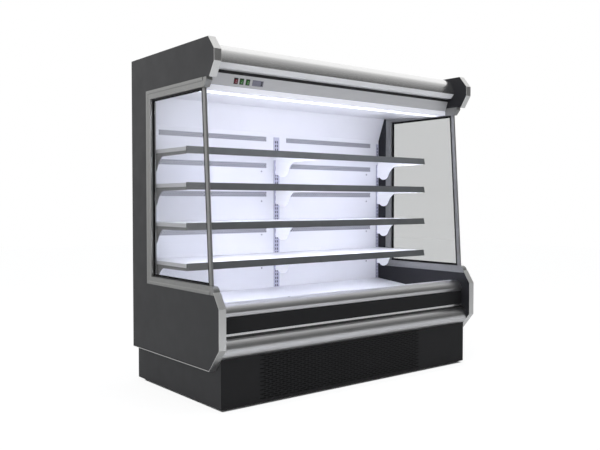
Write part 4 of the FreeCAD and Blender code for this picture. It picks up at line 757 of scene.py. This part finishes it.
def make_world():
    world = bpy.data.worlds.new("studio")
    bpy.context.scene.world = world
    world.use_nodes = True
    tree = world.node_tree
    tree.nodes.clear()
    output = tree.nodes.new("ShaderNodeOutputWorld")
    ambient = tree.nodes.new("ShaderNodeBackground")
    ambient.inputs["Color"].default_value = rgb(0.96, 0.98, 1.0)
    ambient.inputs["Strength"].default_value = AMBIENT
    seen = tree.nodes.new("ShaderNodeBackground")
    seen.inputs["Color"].default_value = rgb(1.0)
    seen.inputs["Strength"].default_value = 1.0
    ray = tree.nodes.new("ShaderNodeLightPath")
    mix = tree.nodes.new("ShaderNodeMixShader")
    glossy = tree.nodes.new("ShaderNodeMath")
    glossy.operation = "MAXIMUM"
    either = tree.nodes.new("ShaderNodeMath")
    either.operation = "MAXIMUM"
    tree.links.new(ray.outputs["Is Glossy Ray"], glossy.inputs[0])
    tree.links.new(ray.outputs["Is Transmission Ray"], glossy.inputs[1])
    tree.links.new(ray.outputs["Is Camera Ray"], either.inputs[0])
    tree.links.new(glossy.outputs["Value"], either.inputs[1])
    tree.links.new(either.outputs["Value"], mix.inputs["Fac"])
    tree.links.new(ambient.outputs["Background"], mix.inputs[1])
    tree.links.new(seen.outputs["Background"], mix.inputs[2])
    tree.links.new(mix.outputs["Shader"], output.inputs["Surface"])


def make_stage():
    """A pale floor that keeps the object's shadow, and a card that only the metals' reflections see."""
    mesh = bpy.data.meshes.new("floor")
    mesh.from_pydata([(-14, -14, 0), (14, -14, 0), (14, 14, 0), (-14, 14, 0)], [], [(0, 1, 2, 3)])
    floor = bpy.data.objects.new("floor", mesh)
    bpy.context.scene.collection.objects.link(floor)
    finish = Finish("floor_white")
    finish.set(Base_Color=rgb(0.86), Roughness=0.7, Specular_IOR_Level=0.1)
    glow = finish.nodes.new("ShaderNodeEmission")
    glow.inputs["Color"].default_value = rgb(1.0)
    glow.inputs["Strength"].default_value = FLOOR_GLOW
    ray = finish.nodes.new("ShaderNodeLightPath")
    mix = finish.nodes.new("ShaderNodeMixShader")
    seen = finish.math("MAXIMUM", ray.outputs["Is Camera Ray"], ray.outputs["Is Transmission Ray"])
    beyond = finish.math("GREATER_THAN", finish.math("ABSOLUTE", finish.axis("X")), SHADE_HALF_LENGTH)
    before = finish.math("GREATER_THAN", finish.math("ABSOLUTE", finish.axis("Y")), SHADE_HALF_DEPTH)
    outside = finish.math("MAXIMUM", beyond, before)
    share = finish.math("MULTIPLY", finish.math("MULTIPLY", seen, FLOOR_GLOW_SHARE), outside)
    finish.links.new(share, mix.inputs["Fac"])
    finish.links.new(finish.shader.outputs["BSDF"], mix.inputs[1])
    finish.links.new(glow.outputs["Emission"], mix.inputs[2])
    finish.links.new(mix.outputs["Shader"], finish.output.inputs["Surface"])
    mesh.materials.append(finish.material)

    mesh = bpy.data.meshes.new("front_card")
    corners = [(-5, -7, 0.0), (15, -7, 0.0), (15, -0.9, 13.2), (-5, -0.9, 13.2)]
    mesh.from_pydata(corners, [], [(0, 1, 2, 3)])
    card = bpy.data.objects.new("front_card", mesh)
    bpy.context.scene.collection.objects.link(card)
    grey = Finish("card_grey")
    grey.nodes.remove(grey.shader)
    light = grey.nodes.new("ShaderNodeEmission")
    rise = grey.spread(grey.axis("Z"), 0.0, 1.0, 3.2, 13.0)
    grey.links.new(grey.blend(rise, rgb(0.12), rgb(0.80)), light.inputs["Color"])
    grey.links.new(light.outputs["Emission"], grey.output.inputs["Surface"])
    mesh.materials.append(grey.material)
    card.visible_camera = False
    card.visible_diffuse = False
    card.visible_shadow = False
    card.visible_transmission = False


def make_lights():
    for name, place, size, power in (
        ("key", (-5.5, -3.0, 3.2), (3.5, 3.0), 75),
        ("top", (0.0, -1.2, 4.6), (5.0, 4.0), 45),
        ("front", (1.5, -6.0, 2.4), (4.0, 2.5), 12),
    ):
        area_light(name, place, (0, 0, 1.0), size, power)
    for level, power in ((0.742, 1.6), (0.974, 2.15), (1.206, 2.15), (1.412, 2.15)):
        for side in (-0.4975, 0.4975):
            place, target = (side, -0.05, level - 0.012), (side, 0.12, level - 0.3)
            area_light(f"shelf_glow_{level}_{side}", place, target, (0.88, 0.03), power, LAMP_TINT)
    area_light("canopy_glow", (0, -0.26, 1.735), (0, 0.1, 1.0), (1.9, 0.05), 6.5, LAMP_TINT)
    area_light("ceiling_glow", (0, -0.14, 1.62), (0, 0.02, 1.76), (1.9, 0.1), 0.9, LAMP_TINT)


make_camera()
make_world()
make_stage()
make_lights()
bpy.context.scene.view_settings.view_transform = "Standard"
